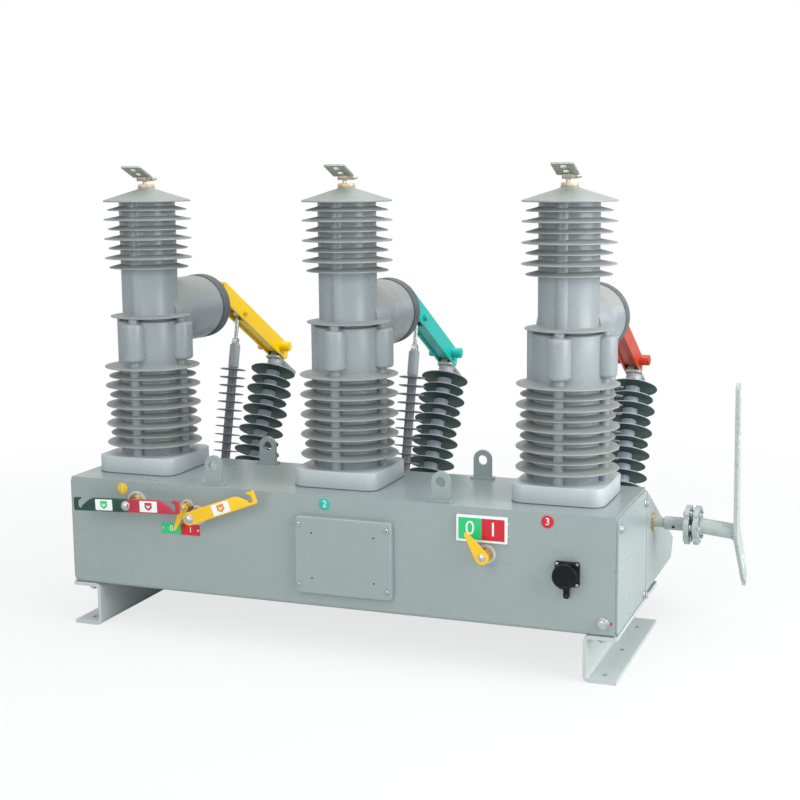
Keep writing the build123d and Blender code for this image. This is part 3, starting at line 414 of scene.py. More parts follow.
def makePole(letter, x, look):
    whole = bmesh.new()
    foot = Matrix.Translation((x, poleY, tankTop))
    addTo(whole, plate(oblong(look["flange"], look["flange"], look["flangeCorner"]), look["flangeHeight"],
                       edge=look["flangeEdge"]), foot, 3)
    # A dark rubber gasket under the flange, which also serves as the painted shadow line at the flange's foot
    addTo(whole, plate(oblong(look["gasketShadowLine"], look["gasketShadowLine"], look["flangeCorner"]), look["gasketShadowLineHeight"], edge=0),
          foot, 1)
    lower = [(look["lowerSmall"] if step % 2 else look["lowerLarge"], look["lowerTop"] - step * look["lowerPitch"])
             for step in reversed(range(look["lowerCount"]))]
    upper = [(look["upperLarge"] if step % 2 else look["upperSmall"],
              look["rimHeight"] - (step + 1) * look["upperPitch"]) for step in reversed(range(look["upperCount"]))]
    core = look["core"]
    top = look["lowerTop"] + 20
    addTo(whole, turned([(0, look["flangeHeight"], 0), (core, look["flangeHeight"], 0)]
                        + shedLine(core, lower, look["root"], look["tip"], look["fall"])
                        + [(core, top, 0), (0, top, 0)]), foot, 0)
    addTo(whole, turned([(0, look["lowerTop"], 0), (look["body"], look["lowerTop"], look["bodyCorner"]),
                         (look["body"], look["bodyTop"], look["bodyCorner"]), (0, look["bodyTop"], 0)]), foot, 0)
    for placeX, placeY in ((look["lobeOffset"], 0), (0, -look["lobeOffset"])):
        addTo(whole, bar(look["lobe"], look["lobeHeight"], look["lobeCorner"], 40),
              foot @ Matrix.Translation((placeX, placeY, look["lobeStart"])), 0)
    column = look["column"]
    addTo(whole, turned([(0, look["bodyTop"] - 5, 0), (column, look["bodyTop"] - 5, 0)]
                        + shedLine(column, [(look["collar"], look["collarHeight"])], look["root"], look["tip"], 3)
                        + shedLine(column, upper, look["root"], look["tip"], look["fall"])
                        + [(column, look["rimHeight"] - 2, 0), (0, look["rimHeight"] - 2, 0)]), foot, 0)
    for step in range(4):
        turn = foot @ Matrix.Rotation(step * pi / 2, 4, "Z")
        addTo(whole, bar(look["rib"], look["collarHeight"] - look["flangeHeight"], 0.5, 24),
              turn @ Matrix.Translation((look["ribOffset"], 0, look["flangeHeight"])), 0)
    for step in (1, 3):
        turn = foot @ Matrix.Rotation(step * pi / 2, 4, "Z")
        addTo(whole, bar(look["columnRib"], look["rimHeight"] - look["collarHeight"] - 2, 0.5, 24),
              turn @ Matrix.Translation((look["columnRibOffset"], 0, look["collarHeight"])), 0)
    rimBottom = look["rimHeight"] - look["rimThickness"]
    addTo(whole, turned([(0, rimBottom, 0), (look["rim"], rimBottom, 1.4), (look["rim"], look["rimHeight"], 1.2),
                         (look["capNeck"], look["capTop"] - 3, 2.5), (look["capNeck"] - 1, look["capTop"], 0.5),
                         (0, look["capTop"], 0)]), foot, 0)
    addTo(whole, turned([(0, 0, 0), (look["barrelNeck"], 0, 0), (look["barrelNeck"], look["barrelTaper"], 8),
                         (look["barrel"], look["barrelShoulder"], 8), (look["barrel"], look["step"], 0.5),
                         (look["barrel"] - look["stepDepth"], look["step"] + 1, 0.5),
                         (look["barrel"] - look["stepDepth"], look["barrelReach"], 1.5),
                         (0, look["barrelReach"], 0)], 72),
          foot @ Matrix.Translation((0, 0, look["barrelHeight"])) @ Matrix.Rotation(-pi / 2, 4, "X"), 0)
    whole.normal_update()
    # Upward faces take the warmer copy: partly dust, partly painted light falling on the tops
    for face in whole.faces:
        if face.material_index == 0 and face.normal.z > 0.4:
            face.material_index = 2
    finishPiece(whole, "pole_casting_" + letter, [poleRubber, darkRubber, dustAndSkyLightRubber, litFlangeRubber], "frame",
                ["pole_" + letter])


# Rubber rings round the ends of the barrels, with fine mould lines
ringLook = {"radius": 78.5, "bore": 46, "start": 220, "width": 34, "height": 361, "lines": 3, "depth": 0.5}


def makeRings(look):
    whole = bmesh.new()
    line = [(look["bore"], 0, 0), (look["radius"], 0, 2)]
    for step in range(1, look["lines"] + 1):
        middle = step * look["width"] / (look["lines"] + 1)
        line += [(look["radius"], middle - 0.8, 0), (look["radius"] - look["depth"], middle, 0),
                 (look["radius"], middle + 0.8, 0)]
    line += [(look["radius"], look["width"], 3), (look["bore"], look["width"], 0), (look["bore"], 0, 0)]
    for x in poleX:
        place = Matrix.Translation((x, poleY + look["start"], tankTop + look["height"]))
        addTo(whole, turned(line, 72), place @ Matrix.Rotation(-pi / 2, 4, "X"))
    finishPiece(whole, "barrel_ring_rubber", [darkRubber], "frame", ["barrel_rings"], 50)


makeRings(ringLook)

# Post insulators: thin sheds on a slim core, with a ribbed metal cap
postLook = {"height": 403, "core": 18, "large": 61, "small": 54, "pitch": 29.2, "count": 13, "first": 33,
            "root": 7, "tip": 3, "cap": 20, "capHeight": 16, "groove": 1, "flange": 24, "flangeHeight": 12}


def makePost(letter, x, look):
    foot = axisPlace(postFoot + across * x, offRoof)
    sheds = [(look["small"] if step % 2 else look["large"], look["height"] - look["first"] - step * look["pitch"])
             for step in reversed(range(look["count"]))]
    capStart = look["height"] - look["capHeight"]
    whole = turned([(0, look["flangeHeight"], 0), (look["core"], look["flangeHeight"], 0)]
                   + shedLine(look["core"], sheds, look["root"], look["tip"], look["root"] / 2)
                   + [(look["core"], capStart, 0), (0, capStart, 0)], 56)
    whole.normal_update()
    # Faces turned down take the dark green: painted shade with a reflected green tint
    for face in whole.faces:
        face.material_index = int(face.normal.z < -0.2)
    bmesh.ops.transform(whole, matrix=foot, verts=whole.verts)
    finishPiece(whole, "post_rubber_" + letter, [postRubber, postShadedUnderside], "frame", ["post_" + letter])
    ends = bar(look["flange"], look["flangeHeight"], 1.5, 40)
    line = [(0, capStart, 0), (look["cap"], capStart, 1)]
    for step in (1, 2, 3):
        height = capStart + step * 4
        line += [(look["cap"], height - 0.7, 0), (look["cap"] - look["groove"], height, 0),
                 (look["cap"], height + 0.7, 0)]
    line += [(look["cap"], look["height"], 1), (0, look["height"], 0)]
    addTo(ends, turned(line, 40))
    bmesh.ops.transform(ends, matrix=foot, verts=ends.verts)
    finishPiece(ends, "post_ends_" + letter, [castAlloy], "frame", ["post_fittings_" + letter], 25)


# Pull rods: small sheds on a slim core between two crimped sleeves
rodLook = {"sleeve": 13.7, "sleeveStart": 85, "sleeveLength": 62, "lowSleeve": 45, "core": 11, "shed": 33,
           "pitch": 21.4, "count": 12, "root": 4.5, "tip": 2, "nutFlats": 17, "nutHeight": 6,
           "flute": 1.7, "fluteOffset": 10.4, "fluteCount": 8}


def makeRod(letter, x, look):
    top = axisPlace(bladePin + across * x, rodLine)
    start = look["sleeveStart"] + look["sleeveLength"]
    end = start + look["pitch"] * (look["count"] - 1) + look["root"] * 2
    sheds = [(look["shed"], start + look["root"] + step * look["pitch"]) for step in range(look["count"])]
    whole = bmesh.new()
    addTo(whole, turned([(0, start - 2, 0), (look["core"], start - 2, 0)]
                        + shedLine(look["core"], sheds, look["root"], look["tip"], 0)
                        + [(look["core"], end + 2, 0), (0, end + 2, 0)], 48), top, 0)
    for step in range(look["fluteCount"]):
        turn = Matrix.Rotation(step * 2 * pi / look["fluteCount"], 4, "Z")
        addTo(whole, bar(look["flute"], end - start, 0, 8),
              top @ turn @ Matrix.Translation((look["fluteOffset"], 0, start)), 0)
    for place, length in ((look["sleeveStart"], look["sleeveLength"]), (end, look["lowSleeve"])):
        addTo(whole, bar(look["sleeve"], length, 2.5, 11), top @ Matrix.Translation((0, 0, place)), 1)
    finishPiece(whole, "rod_rubber_" + letter, [rodRubber, sleeveRubber], "rod_" + letter, ["pull_rod_" + letter],
                40)
    nuts = bmesh.new()
    addTo(nuts, hexagon(look["nutFlats"], look["nutHeight"]),
          top @ Matrix.Translation((0, 0, look["sleeveStart"] - look["nutHeight"])))
    finishPiece(nuts, "rod_nut_" + letter, [brightZinc], "rod_" + letter, ())


# Blade fittings: bolt heads on its pins, rivets at the hinge and the fingers that grip the fixed contact
bladeLook = {"side": 20, "pinHead": 5, "hingeFlats": 17, "pinFlats": 13, "pinU": 132.6 * cos(radians(3.8)),
             "pinW": 132.6 * sin(radians(3.8)), "guideU": 340, "guideW": -4.5, "bossU": 377, "bossW": 12.5,
             "bossReach": 46, "top": 35.5, "fingerCount": 5, "finger": 7.2, "fingerGap": 1.6, "fingerFrom": 380,
             "fingerLow": -16, "fingerHigh": 3, "fingerSheet": 3.4, "fingerInset": 12}


def makeBladeFittings(letter, x, look):
    whole = bmesh.new()
    out = look["side"] + look["pinHead"]
    for side in (-1, 1):
        flip = Matrix.Rotation(0 if side > 0 else pi, 4, "X")
        for u, w, flats in ((0, 0, look["hingeFlats"]), (look["pinU"], look["pinW"], look["pinFlats"])):
            addTo(whole, hexagon(flats, 4), bladePlace(x, u, w, side * out) @ flip, 0)
        for u in (388, 402):
            addTo(whole, bar(3.6, 1.6, 1, 20), bladePlace(x, u, 4, side * look["side"]) @ flip, 0)
        for step in range(look["fingerCount"]):
            u = look["fingerFrom"] + step * (look["finger"] + look["fingerGap"]) + look["finger"] / 2
            middle = (look["fingerLow"] + look["fingerHigh"]) / 2
            addTo(whole, plate(oblong(look["finger"], look["fingerHigh"] - look["fingerLow"], 1.5),
                               look["fingerSheet"], edge=0.6),
                  bladePlace(x, u, middle, side * look["fingerInset"] - look["fingerSheet"] / 2), 1)
    addTo(whole, hexagon(look["pinFlats"], 4),
          bladePlace(x, look["guideU"], look["guideW"], -out) @ Matrix.Rotation(pi, 4, "X"), 0)
    addTo(whole, bar(9, 1.6, 0.8, 28), bladePlace(x, look["bossU"], look["bossW"], look["bossReach"]), 0)
    for u, size in ((10, 6), (38, 5)):
        addTo(whole, bar(size, 5, 2, 24), bladePlace(x, u, look["top"]) @ Matrix.Rotation(-pi / 2, 4, "X"), 0)
    finishPiece(whole, "blade_fittings_" + letter, [bladeEnamels[letter], fingerCopper], "blade_" + letter)


# Upper terminals: a low hexagon and a stud, a split clamp with its bolt, and a bent pad with two holes
terminalLook = {"capTop": 655, "hexFlats": 34, "hexHeight": 8, "stud": 9, "clampLow": 15, "clampWidth": 24,
                "clampDepth": 38, "clampHeight": 10, "clampY": -5, "split": 2.2, "splitDepth": 14, "padWidth": 48,
                "padLength": 60, "padSheet": 4, "padTilt": 22.6, "padCorner": 2.5, "hole": 7.2, "holePitch": 25,
                "holeFront": 16, "boltFlats": 9, "boltHead": 5, "boltY": 7, "boltEnd": 6}


def makeTerminal(letter, x, look):
    whole = bmesh.new()
    top = Matrix.Translation((x, poleY, tankTop + look["capTop"]))
    clamp = plate(oblong(look["clampWidth"], look["clampDepth"], 3), look["clampHeight"], edge=0.8)
    addTo(whole, clamp, top @ Matrix.Translation((0, look["clampY"], look["clampLow"])), 1)
    rear = look["clampY"] + look["clampDepth"] / 2
    # A dark sheet in the clamp's split: painted shade in the slit
    addTo(whole, plate(oblong(look["split"], look["splitDepth"], 0), look["clampHeight"] + 0.1, edge=0),
          top @ Matrix.Translation((0, rear - look["splitDepth"] / 2 + 0.1, look["clampLow"])), 3)
    length = look["padLength"]
    holes = [(0, look["holeFront"] + step * look["holePitch"] - length, look["hole"]) for step in (0, 1)]
    pad = plate(oblong(look["padWidth"], length, look["padCorner"], 0, -length / 2), look["padSheet"], holes, 0.5)
    bend = top @ Matrix.Translation((0, -15, look["clampLow"] + look["clampHeight"] - look["padSheet"] + 1.5))
    addTo(whole, pad, bend @ Matrix.Rotation(radians(-look["padTilt"]), 4, "X"), 0)
    for side in (-1, 1):
        face = top @ Matrix.Translation((0, look["boltY"], look["clampLow"] + look["clampHeight"] / 2))
        face = face @ Matrix.Rotation(side * pi / 2, 4, "Y") @ Matrix.Translation((0, 0, look["clampWidth"] / 2))
        addTo(whole, hexagon(look["boltFlats"], look["boltHead"], 0.6), face, 2)
        if side > 0:
            addTo(whole, bar(look["boltFlats"] / 3, look["boltHead"] + look["boltEnd"], 0.6, 16), face, 2)
    finishPiece(whole, "terminal_pad_" + letter, [tinnedCopper, stainedCopper, brightZinc, darkHollow], "frame",
                ["top_terminal_" + letter])


def makeStuds(look):
    whole = bmesh.new()
    for x in poleX:
        top = Matrix.Translation((x, poleY, tankTop + look["capTop"]))
        addTo(whole, hexagon(look["hexFlats"], look["hexHeight"], 1), top, 0)
        addTo(whole, bar(look["stud"], look["clampLow"] + 1, 0.5, 32), top, 1)
    finishPiece(whole, "terminal_hexagons", [creamBrass, brightTin], "frame", ["terminal_studs"])


makeStuds(terminalLook)
for letter, x in zip(poleLetters, poleX):
    makePole(letter, x, poleLook)
    makePost(letter, x, postLook)
    makeRod(letter, x, rodLook)
    makeBladeFittings(letter, x, bladeLook)
    makeTerminal(letter, x, terminalLook)
print("poles, posts, rods and blade fittings built")


# Fasteners of the tank: panel screws and holes, cover bolts with washers, and the nuts over the feet
tankLook = {"screwX": 102.5, "screwZ": 67.5, "screw": 5.2, "screwHeight": 2.4, "slot": 1.5, "holeX": 72,
            "holeZ": 50, "hole": 2, "coverBolts": ((-177.5, 322), (76.5, 319), (79.5, 112)),
            "washer": 10, "boltFlats": 14, "boltHeight": 6, "footNuts": (-174, -10, 150), "footNutX": 605,
            "footTop": 92, "nutFlats": 18}


def makeFasteners(look):
    whole = bmesh.new()
    panelLow, panelHigh = nodeBox("front_panel")
    middleX = (panelLow.x + panelHigh.x) / 2
    middleZ = (panelLow.z + panelHigh.z) / 2
    out = tankFront - panelLow.y
    for sideX in (-1, 1):
        for sideZ in (-1, 1):
            corner = frontPlace(middleX + sideX * look["screwX"], middleZ + sideZ * look["screwZ"], out)
            addTo(whole, bar(look["screw"], look["screwHeight"], 1.6, 24), corner, 0)
            # The dark dot on each screw and the flat dark discs for the panel's holes are painted shade, in the dark
            # hollow finish
            addTo(whole, bar(look["slot"], look["screwHeight"] + 0.2, 0.2, 12), corner, 1)
            addTo(whole, bar(look["hole"], 0.2, 0, 16),
                  frontPlace(middleX + sideX * look["holeX"], middleZ + sideZ * look["holeZ"], out), 1)
        for y, z in look["coverBolts"]:
            face = Matrix.Translation((sideX * tankEnd, y, z)) @ Matrix.Rotation(sideX * pi / 2, 4, "Y")
            addTo(whole, bar(look["washer"], 1.6, 0.4, 28), face, 0)
            addTo(whole, hexagon(look["boltFlats"], look["boltHeight"] + 1.6), face, 0)
        for y in look["footNuts"]:
            under = Matrix.Translation((sideX * look["footNutX"], y, look["footTop"])) @ Matrix.Rotation(pi, 4, "X")
            addTo(whole, bar(12, 2, 0.5, 28), under, 0)
            addTo(whole, hexagon(look["nutFlats"], 10), under, 0)
            addTo(whole, bar(5, 14, 0.8, 20), under, 0)
    finishPiece(whole, "tank_fasteners", [brightZinc, darkHollow], "frame", ())


makeFasteners(tankLook)

# Phase dots with a plain figure each
dotLook = {"radius": 13.4, "height": 0.6, "figure": 15, "z": 331,
           "dots": (("1", -500.6, printYellow), ("2", -0.4, printTurquoise), ("3", 494, printRed))}


def makeDots(look):
    whole = bmesh.new()
    for index, (figure, x, material) in enumerate(look["dots"]):
        addTo(whole, bar(look["radius"], look["height"], 0.3, 48), frontPlace(x, look["z"]), index)
        addTo(whole, numeral(figure, look["figure"]), frontPlace(x, look["z"], look["height"] + 0.15), 3)
    finishPiece(whole, "phase_dots", [dot[2] for dot in look["dots"]] + [printWhite], "frame")


makeDots(dotLook)


# Signs: a thick board with a white frame, and a thin riveted plate, with the figures 0 and 1
signLook = {
    "position_sign": {"x": 355, "z": 305.5, "width": 110, "height": 56, "sheet": 6, "border": 5, "figure": 30,
                      "rivets": ((57, 14), (57, -14)), "rivetOut": 0, "rivet": 3},
    "charge_sign": {"x": -352.5, "z": 248, "width": 97, "height": 25, "sheet": 1.5, "border": 0, "figure": 13,
                    "rivets": ((44, 0), (-44, 0)), "rivetOut": 1.5, "rivet": 3.2}}


def makeSign(name, look):
    whole = bmesh.new()
    addTo(whole, plate(oblong(look["width"], look["height"], 1.5), look["sheet"] - 0.3, edge=0.4),
          frontPlace(look["x"], look["z"]), 0)
    half = look["width"] / 2 - look["border"]
    for side, figure, finish in ((-1, "0", 1), (1, "1", 2)):
        x = look["x"] + side * half / 2
        addTo(whole, plate(oblong(half, look["height"] - 2 * look["border"], 0.5), 0.3, edge=0),
              frontPlace(x, look["z"], look["sheet"] - 0.3), finish)
        addTo(whole, numeral(figure, look["figure"]), frontPlace(x, look["z"], look["sheet"] + 0.1), 0)
    for x, z in look["rivets"]:
        addTo(whole, bar(look["rivet"], 2, 1, 20), frontPlace(look["x"] + x, look["z"] + z, look["rivetOut"]), 3)
    finishPiece(whole, name + "_plate", [printWhite, printGreen, printRed, brightZinc], "frame", [name])


for name, look in signLook.items():
    makeSign(name, look)
print("tank fasteners, dots and signs built")


# Levers: flat arms with a hook that opens upwards, a nut on the spindle and a sticker on each arm
leverLook = {"height": 30, "sheet": 6, "drop": 18, "slope": 26, "gap": 12, "hookWidth": 9, "tip": 9,
             "spindle": 8, "stickerWidth": 44, "stickerHeight": 25, "nutFlats": 15, "nutHeight": 6, "washer": 11}


def hookArm(start, end, look, side=1, startCorner=1):  # one arm from the pivot to its hook
    top = look["height"] / 2
    throat = end - look["hookWidth"]
    slopeEnd = throat - look["gap"]
    notch = top - look["drop"]
    low = notch - look["gap"] / 2
    outline = [(start, -top, startCorner), (end, -top, 4.5), (end, top, 2.5), (throat - look["tip"], top, 2),
               (throat - look["tip"], top - 3, 0.8), (throat, top - look["tip"], 1.5), (throat, low, 4.4),
               (slopeEnd, low, 4.4), (slopeEnd, notch, 1.2), (slopeEnd - look["slope"], top, 8),
               (start, top, startCorner)]
    return [(side * x, y, size) for x, y, size in outline]


def addSticker(whole, place, width, height, white, mark):  # a white sticker with a plain pointed mark
    addTo(whole, plate(oblong(width, height, 1.5), 0.3, edge=0), place, white)
    size = height * 0.36
    addTo(whole, plate([(-size, size, 1), (size, size, 1), (size, -size * 0.3, 1), (0, -size * 1.1, 1),
                        (-size, -size * 0.3, 1)], 0.2, edge=0), place @ Matrix.Translation((0, 0, 0.3)), mark)
    addTo(whole, plate([(-size / 2, size / 2, 0), (0, 0, 0), (size / 2, size / 2, 0), (size / 2, 0, 0),
                        (0, -size / 2, 0), (-size / 2, 0, 0)], 0.1, edge=0),
          place @ Matrix.Translation((0, 0, 0.5)), white)


def addNut(whole, place, look, finish):  # washer, nut and the rounded end of the spindle
    addTo(whole, bar(look["washer"], 1.4, 0.4, 28), place, finish)
    addTo(whole, hexagon(look["nutFlats"], look["nutHeight"]), place, finish)
    addTo(whole, bar(look["nutFlats"] * 0.3, look["nutHeight"] + 2, 1.5, 20), place, finish)


tripLook = {"x": -464, "z": 304, "out": 44, "turn": 2.1, "end": 135, "split": 3, "stickers": (-56, 58.5)}


def makeTripLever(look, lever):
    whole = bmesh.new()
    place = frontPlace(look["x"], look["z"], look["out"], look["turn"])
    face = place @ Matrix.Translation((0, 0, lever["sheet"]))
    addTo(whole, plate(hookArm(-look["split"], look["end"], lever, -1), lever["sheet"], edge=0.8), place, 0)
    addTo(whole, plate(hookArm(look["split"] + 0.2, look["end"], lever), lever["sheet"], edge=0.8), place, 1)
    addTo(whole, bar(lever["spindle"], look["out"], 0.5, 28), frontPlace(look["x"], look["z"], 0.5), 4)
    for x, mark in zip(look["stickers"], (2, 1)):
        addSticker(whole, face @ Matrix.Translation((x, 0, 0)), lever["stickerWidth"], lever["stickerHeight"], 3, mark)
    addNut(whole, face, lever, 4)
    finishPiece(whole, "trip_lever_plate", [leverGreen, leverRed, printGreen, printWhite, brightZinc],
                "trip_lever", ["trip_lever"])


makeTripLever(tripLook, leverLook)

chargingLook = {"x": -311, "z": 283, "out": 32, "turn": 20.7, "end": 174, "sticker": 85}


def makeChargingLever(look, lever):
    whole = bmesh.new()
    place = frontPlace(look["x"], look["z"], look["out"], look["turn"])
    face = place @ Matrix.Translation((0, 0, lever["sheet"]))
    addTo(whole, plate(hookArm(-lever["height"] / 2, look["end"], lever, 1, 14.8), lever["sheet"], edge=0.8), place, 0)
    addTo(whole, bar(lever["spindle"], look["out"], 0.5, 28), frontPlace(look["x"], look["z"], 0.5), 3)
    addSticker(whole, face @ Matrix.Translation((look["sticker"], 0, 0)), lever["stickerWidth"],
               lever["stickerHeight"], 2, 1)
    addNut(whole, face, lever, 3)
    finishPiece(whole, "charging_lever_plate", [leverYellow, printOrange, printWhite, brightZinc],
                "charging_lever", ["charging_lever"])


makeChargingLever(chargingLook, leverLook)

# Nuts on the pointers, and pale nylon rings round the brass bushes on the wall
pointerLook = {"position_pointer": {"x": 363.5, "z": 252, "out": 32, "nutFlats": 11, "nutHeight": 4, "washer": 8},
               "charge_pointer": {"x": -335, "z": 302, "out": 20, "nutFlats": 9, "nutHeight": 3.5, "washer": 6.5}}
for name, look in pointerLook.items():
    nut = bmesh.new()
    addNut(nut, frontPlace(look["x"], look["z"], look["out"]), look, 0)
    finishPiece(nut, name + "_nut", [brightZinc], name, ())

bushRingLook = {"height": 0.8, "rings": ((-464, 304, 24), (-311, 283, 23), (363.5, 252, 21), (-335, 302, 16))}
rings = bmesh.new()
for x, z, radius in bushRingLook["rings"]:
    addTo(rings, bar(radius, bushRingLook["height"], 0.3, 40), frontPlace(x, z), 0)
finishPiece(rings, "bush_rings", [palePaint], "frame")


# Control socket: square flange with four rivets, a round lipped cap and its pull tail
socketLook = {"x": 536.5, "z": 226, "side": 52, "corner": 5, "flange": 5, "cap": 26, "reach": 24, "lip": 4,
              "recess": 1, "rivetAt": 21, "rivet": 3.2, "tailWidth": 12.5, "tailLength": 27, "tailSheet": 5}


def makeSocket(look):
    whole = bmesh.new()
    face = frontPlace(look["x"], look["z"])
    reach = look["flange"] + look["reach"]
    addTo(whole, plate(oblong(look["side"], look["side"], look["corner"]), look["flange"], edge=1), face, 0)
    addTo(whole, turned([(0, look["flange"] - 1, 0), (look["cap"] - 2, look["flange"] - 1, 0),
                         (look["cap"] - 2, reach - 9, 0.8), (look["cap"], reach - 8, 0.8), (look["cap"], reach, 2),
                         (look["cap"] - look["lip"], reach, 1), (look["cap"] - look["lip"] - 1, reach - look["recess"], 0.4),
                         (0, reach - look["recess"], 0)]), face, 0)
    for sideX in (-1, 1):
        for sideZ in (-1, 1):
            corner = face @ Matrix.Translation((sideX * look["rivetAt"], sideZ * look["rivetAt"], look["flange"]))
            addTo(whole, bar(look["rivet"], 1.4, 0.8, 20), corner, 1)
    tail = face @ Matrix.Translation((0, -look["cap"] - look["tailLength"] / 2 + 3, look["flange"]))
    addTo(whole, plate(oblong(look["tailWidth"], look["tailLength"], 4.8), look["tailSheet"],
                       holes=((0, -look["tailLength"] / 2 + 5, 2),), edge=0), tail, 0)
    finishPiece(whole, "socket_with_cap", [blackPlastic, brightZinc], "frame", ["control_socket"])


makeSocket(socketLook)

# Earthing bolt with two washers and a small red mark beside it
earthLook = {"x": 611.5, "z": 128, "washer": 12.5, "spring": 9.5, "flats": 17, "top": 11, "mark": 17}


def makeEarthBolt(look):
    whole = bmesh.new()
    face = frontPlace(look["x"], look["z"])
    addTo(whole, bar(look["washer"], 2, 0.5, 36), face, 0)
    addTo(whole, bar(look["spring"], 4, 0.6, 28), face, 0)
    addTo(whole, hexagon(look["flats"], look["top"], 1.2), face, 0)
    addTo(whole, plate(oblong(5, 6, 1), 0.4, edge=0), face @ Matrix.Translation((look["mark"], 1, 0)), 1)
    finishPiece(whole, "earthing_bolt_set", [brightZinc, printRed], "frame", ["earthing_bolt"])


makeEarthBolt(earthLook)
print("levers, pointers, socket and earthing bolt built")

# Bolts of the coupling, hub ring, cross pin, weld and stickers on the handle
couplingLook = {"start": 714, "disc": 11, "gap": 9, "circle": 32, "count": 6, "flats": 11, "head": 3.2, "shank": 3.4,
                "hubRing": 21, "hubLength": 5, "pinX": 688, "pin": 3.2, "pinReach": 15.8}
handleLook = {"x": 829, "hub": (168.5, 248), "weld": 19.5, "weldLength": 5, "stickerWidth": 20, "stickerLength": 24,
              "stickers": ((207, 97, 0, 18, 24), (134, -43, 1, 20, 40))}


def makeCouplingBolts(look):
    whole = bmesh.new()
    end = look["start"] + 2 * look["disc"] + look["gap"]
    for step in range(look["count"]):
        angle = step * 2 * pi / look["count"]
        y = shaftAxis.y + look["circle"] * cos(angle)
        z = shaftAxis.z + look["circle"] * sin(angle)
        addTo(whole, hexagon(look["flats"], look["head"]), endPlace(look["start"] - look["head"], y, z), 1)
        addTo(whole, hexagon(look["flats"], look["head"]), endPlace(end, y, z), 1)
        addTo(whole, bar(look["shank"], look["head"] + 2, 0.6, 16), endPlace(end, y, z), 0)
        addTo(whole, hexagon(look["flats"] + 2, look["gap"] / 2), endPlace(look["start"] + look["disc"], y, z, 30), 0)
    addTo(whole, bar(look["hubRing"], look["hubLength"], 1.5, 40), endPlace(end, shaftAxis.y, shaftAxis.z), 1)
    # The cross pin takes the dark hollow finish: painted shade of its hole
    pin = axisPlace(Vector((look["pinX"], shaftAxis.y, shaftAxis.z)), (0, -0.94, -0.34))
    addTo(whole, bar(look["pin"], look["pinReach"], 0.5, 20), pin, 2)
    finishPiece(whole, "coupling_bolts", [brightZinc, shaftEnamel, darkHollow], "shaft", ())


def makeHandleTrim(look):
    whole = bmesh.new()
    y, z = look["hub"]
    addTo(whole, bar(look["weld"], look["weldLength"], 2.2, 40), endPlace(look["x"] - 8 - look["weldLength"], y, z), 2)
    for distance, angle, finish, width, length in look["stickers"]:
        place = endPlace(look["x"], y + distance * cos(radians(angle)), z + distance * sin(radians(angle)), angle + 90)
        addTo(whole, plate(oblong(length, width, 1.5), 0.3, edge=0), place, 3)
        addTo(whole, plate([(-9, 3, 0), (1, 3, 0), (1, 7, 0), (9, 0, 0), (1, -7, 0), (1, -3, 0), (-9, -3, 0)], 0.2,
                           edge=0), place @ Matrix.Translation((0, 0, 0.3)), finish)
    finishPiece(whole, "handle_trim", [printGreen, printRed, shaftEnamel, printWhite], "shaft")


makeCouplingBolts(couplingLook)
makeHandleTrim(handleLook)
print("coupling and handle trim built")


# Carried-over nodes take their finish here
carried = {
    "tank": tankEnamel, "end_covers": tankEnamel, "front_panel": tankEnamel, "foot_left": footEnamel,
    "foot_right": footEnamel, "lifting_lugs": tankEnamel, "hood_roof": tankEnamel,
    "hood_side_left": tankEnamel, "hood_side_right": tankEnamel, "coupling": shaftEnamel, "handle": shaftEnamel,
    "shaft_bushings": turnedBrass,
    "lever_bushes": turnedBrass, "pointer_bushes": turnedBrass, "shaft": shaftEnamel,
    "position_pointer": leverYellow, "charge_pointer": leverYellow}
for letter in poleLetters:
    carried.update({
        "hinge_contact_" + letter: tinnedCopper,
        "blade_" + letter: bladeEnamels[letter], "rod_ends_" + letter: brightZinc,
        "line_terminal_" + letter: tinnedCopper})
for name, material in carried.items():
    mesh = nodes[name].data
    mesh.materials.clear()
    mesh.materials.append(material)
print("carried-over nodes finished:", len(carried))


# Camera where the photographer stood
cameraLook = {"place": (1226.6, -2993.7, 1041.8), "turn": 20.636, "tilt": 9.048, "roll": -0.483,
              "lens": 65.156, "sensor": 36}


def makeCamera(look):
    data = bpy.data.cameras.new("camera")
    data.lens = look["lens"]
    data.sensor_width = look["sensor"]
    camera = bpy.data.objects.new("camera", data)
    turn = Matrix.Rotation(radians(look["turn"]), 4, "Z")
    tilt = Matrix.Rotation(radians(90 - look["tilt"]), 4, "X")
    roll = Matrix.Rotation(radians(look["roll"]), 4, "Z")
    camera.matrix_world = Matrix.Translation(Vector(look["place"]) / 1000) @ turn @ tilt @ roll
    bpy.context.scene.collection.objects.link(camera)
    bpy.context.scene.camera = camera


makeCamera(cameraLook)

# Soft studio light: a wide lamp on the right, one in front and one above
lampLook = {
    "right": {"place": (3.6, -0.6, 1.9), "aim": (0, 0, 0.5), "size": 3.0, "power": 150},
    "front": {"place": (-1.2, -4.6, 2.6), "aim": (0, 0, 0.5), "size": 3.5, "power": 110},
    "above": {"place": (0.2, 0.2, 3.8), "aim": (0, 0, 0.4), "size": 3.5, "power": 80},
}
for name, look in lampLook.items():
    lamp = bpy.data.lights.new(name, "AREA")
    lamp.shape = "SQUARE"
    lamp.size = look["size"]
    lamp.energy = look["power"]
    holder = bpy.data.objects.new(name, lamp)
    holder.location = look["place"]
    holder.rotation_euler = (Vector(look["aim"]) - holder.location).to_track_quat("-Z", "Y").to_euler()
    bpy.context.scene.collection.objects.link(holder)

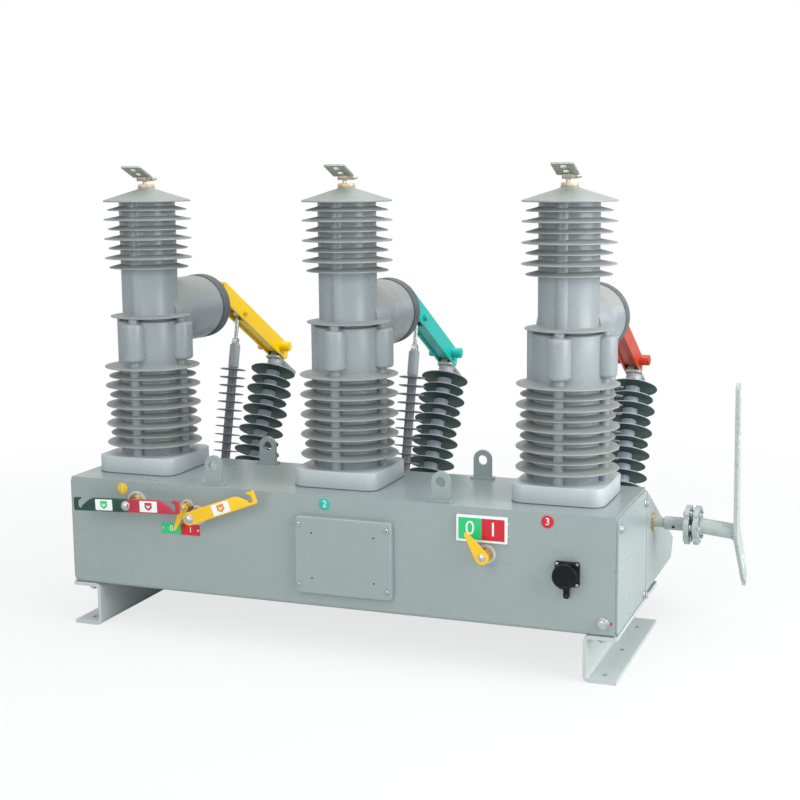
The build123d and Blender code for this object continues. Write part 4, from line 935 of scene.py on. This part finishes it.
worldLook = {"ambient": 0.42, "tint": "#F2F6F8"}
world = bpy.data.worlds.new("studio")
bpy.context.scene.world = world
world.use_nodes = True
tree = world.node_tree
tree.nodes.clear()
rays = addNode(tree, "ShaderNodeLightPath")
seen = addNode(tree, "ShaderNodeMath", {"operation": "MAXIMUM"},
               {0: rays.outputs["Is Camera Ray"], 1: rays.outputs["Is Glossy Ray"]})
through = addNode(tree, "ShaderNodeMath", {"operation": "MAXIMUM"},
                  {0: seen.outputs["Value"], 1: rays.outputs["Is Transmission Ray"]})
soft = addNode(tree, "ShaderNodeBackground",
               {"Color": linearColour(worldLook["tint"]), "Strength": worldLook["ambient"]})
white = addNode(tree, "ShaderNodeBackground", {"Color": (1, 1, 1, 1), "Strength": 1})
both = addNode(tree, "ShaderNodeMixShader", None,
               {0: through.outputs["Value"], 1: soft.outputs["Background"], 2: white.outputs["Background"]})
addNode(tree, "ShaderNodeOutputWorld", None, {"Surface": both.outputs["Shader"]})

# Pale floor that keeps a soft shadow and fades into the white background
floorLook = {"reach": 40, "colour": "#DADEDD", "veil": 0.75, "fadeFrom": 0.7, "fadeTo": 2.6}


def makeFloor(look):
    bm = bmesh.new()
    bmesh.ops.create_grid(bm, x_segments=1, y_segments=1, size=look["reach"])
    mesh = bpy.data.meshes.new("floor")
    bm.to_mesh(mesh)
    bm.free()
    material = bpy.data.materials.new("paleFloor")
    material.use_nodes = True
    tree = material.node_tree
    tree.nodes.clear()
    place = addNode(tree, "ShaderNodeTexCoord").outputs["Object"]
    far = addNode(tree, "ShaderNodeVectorMath", {"operation": "LENGTH"}, {0: place})
    fade = addNode(tree, "ShaderNodeMapRange",
                   {"From Min": look["fadeFrom"], "From Max": look["fadeTo"], "To Min": look["veil"], "To Max": 1},
                   {"Value": far.outputs["Value"]})
    rays = addNode(tree, "ShaderNodeLightPath")
    share = addNode(tree, "ShaderNodeMath", {"operation": "MULTIPLY"},
                    {0: fade.outputs["Result"], 1: rays.outputs["Is Camera Ray"]})
    cloth = addNode(tree, "ShaderNodeBsdfPrincipled", {"Base Color": linearColour(look["colour"]), "Roughness": 0.9})
    glow = addNode(tree, "ShaderNodeEmission", {"Color": (1, 1, 1, 1), "Strength": 1})
    both = addNode(tree, "ShaderNodeMixShader", None,
                   {0: share.outputs["Value"], 1: cloth.outputs["BSDF"], 2: glow.outputs["Emission"]})
    addNode(tree, "ShaderNodeOutputMaterial", None, {"Surface": both.outputs["Shader"]})
    mesh.materials.append(material)
    floor = bpy.data.objects.new("floor", mesh)
    bpy.context.scene.collection.objects.link(floor)


makeFloor(floorLook)
bpy.context.scene.view_settings.view_transform = "Standard"
print("camera, lamps and floor placed")
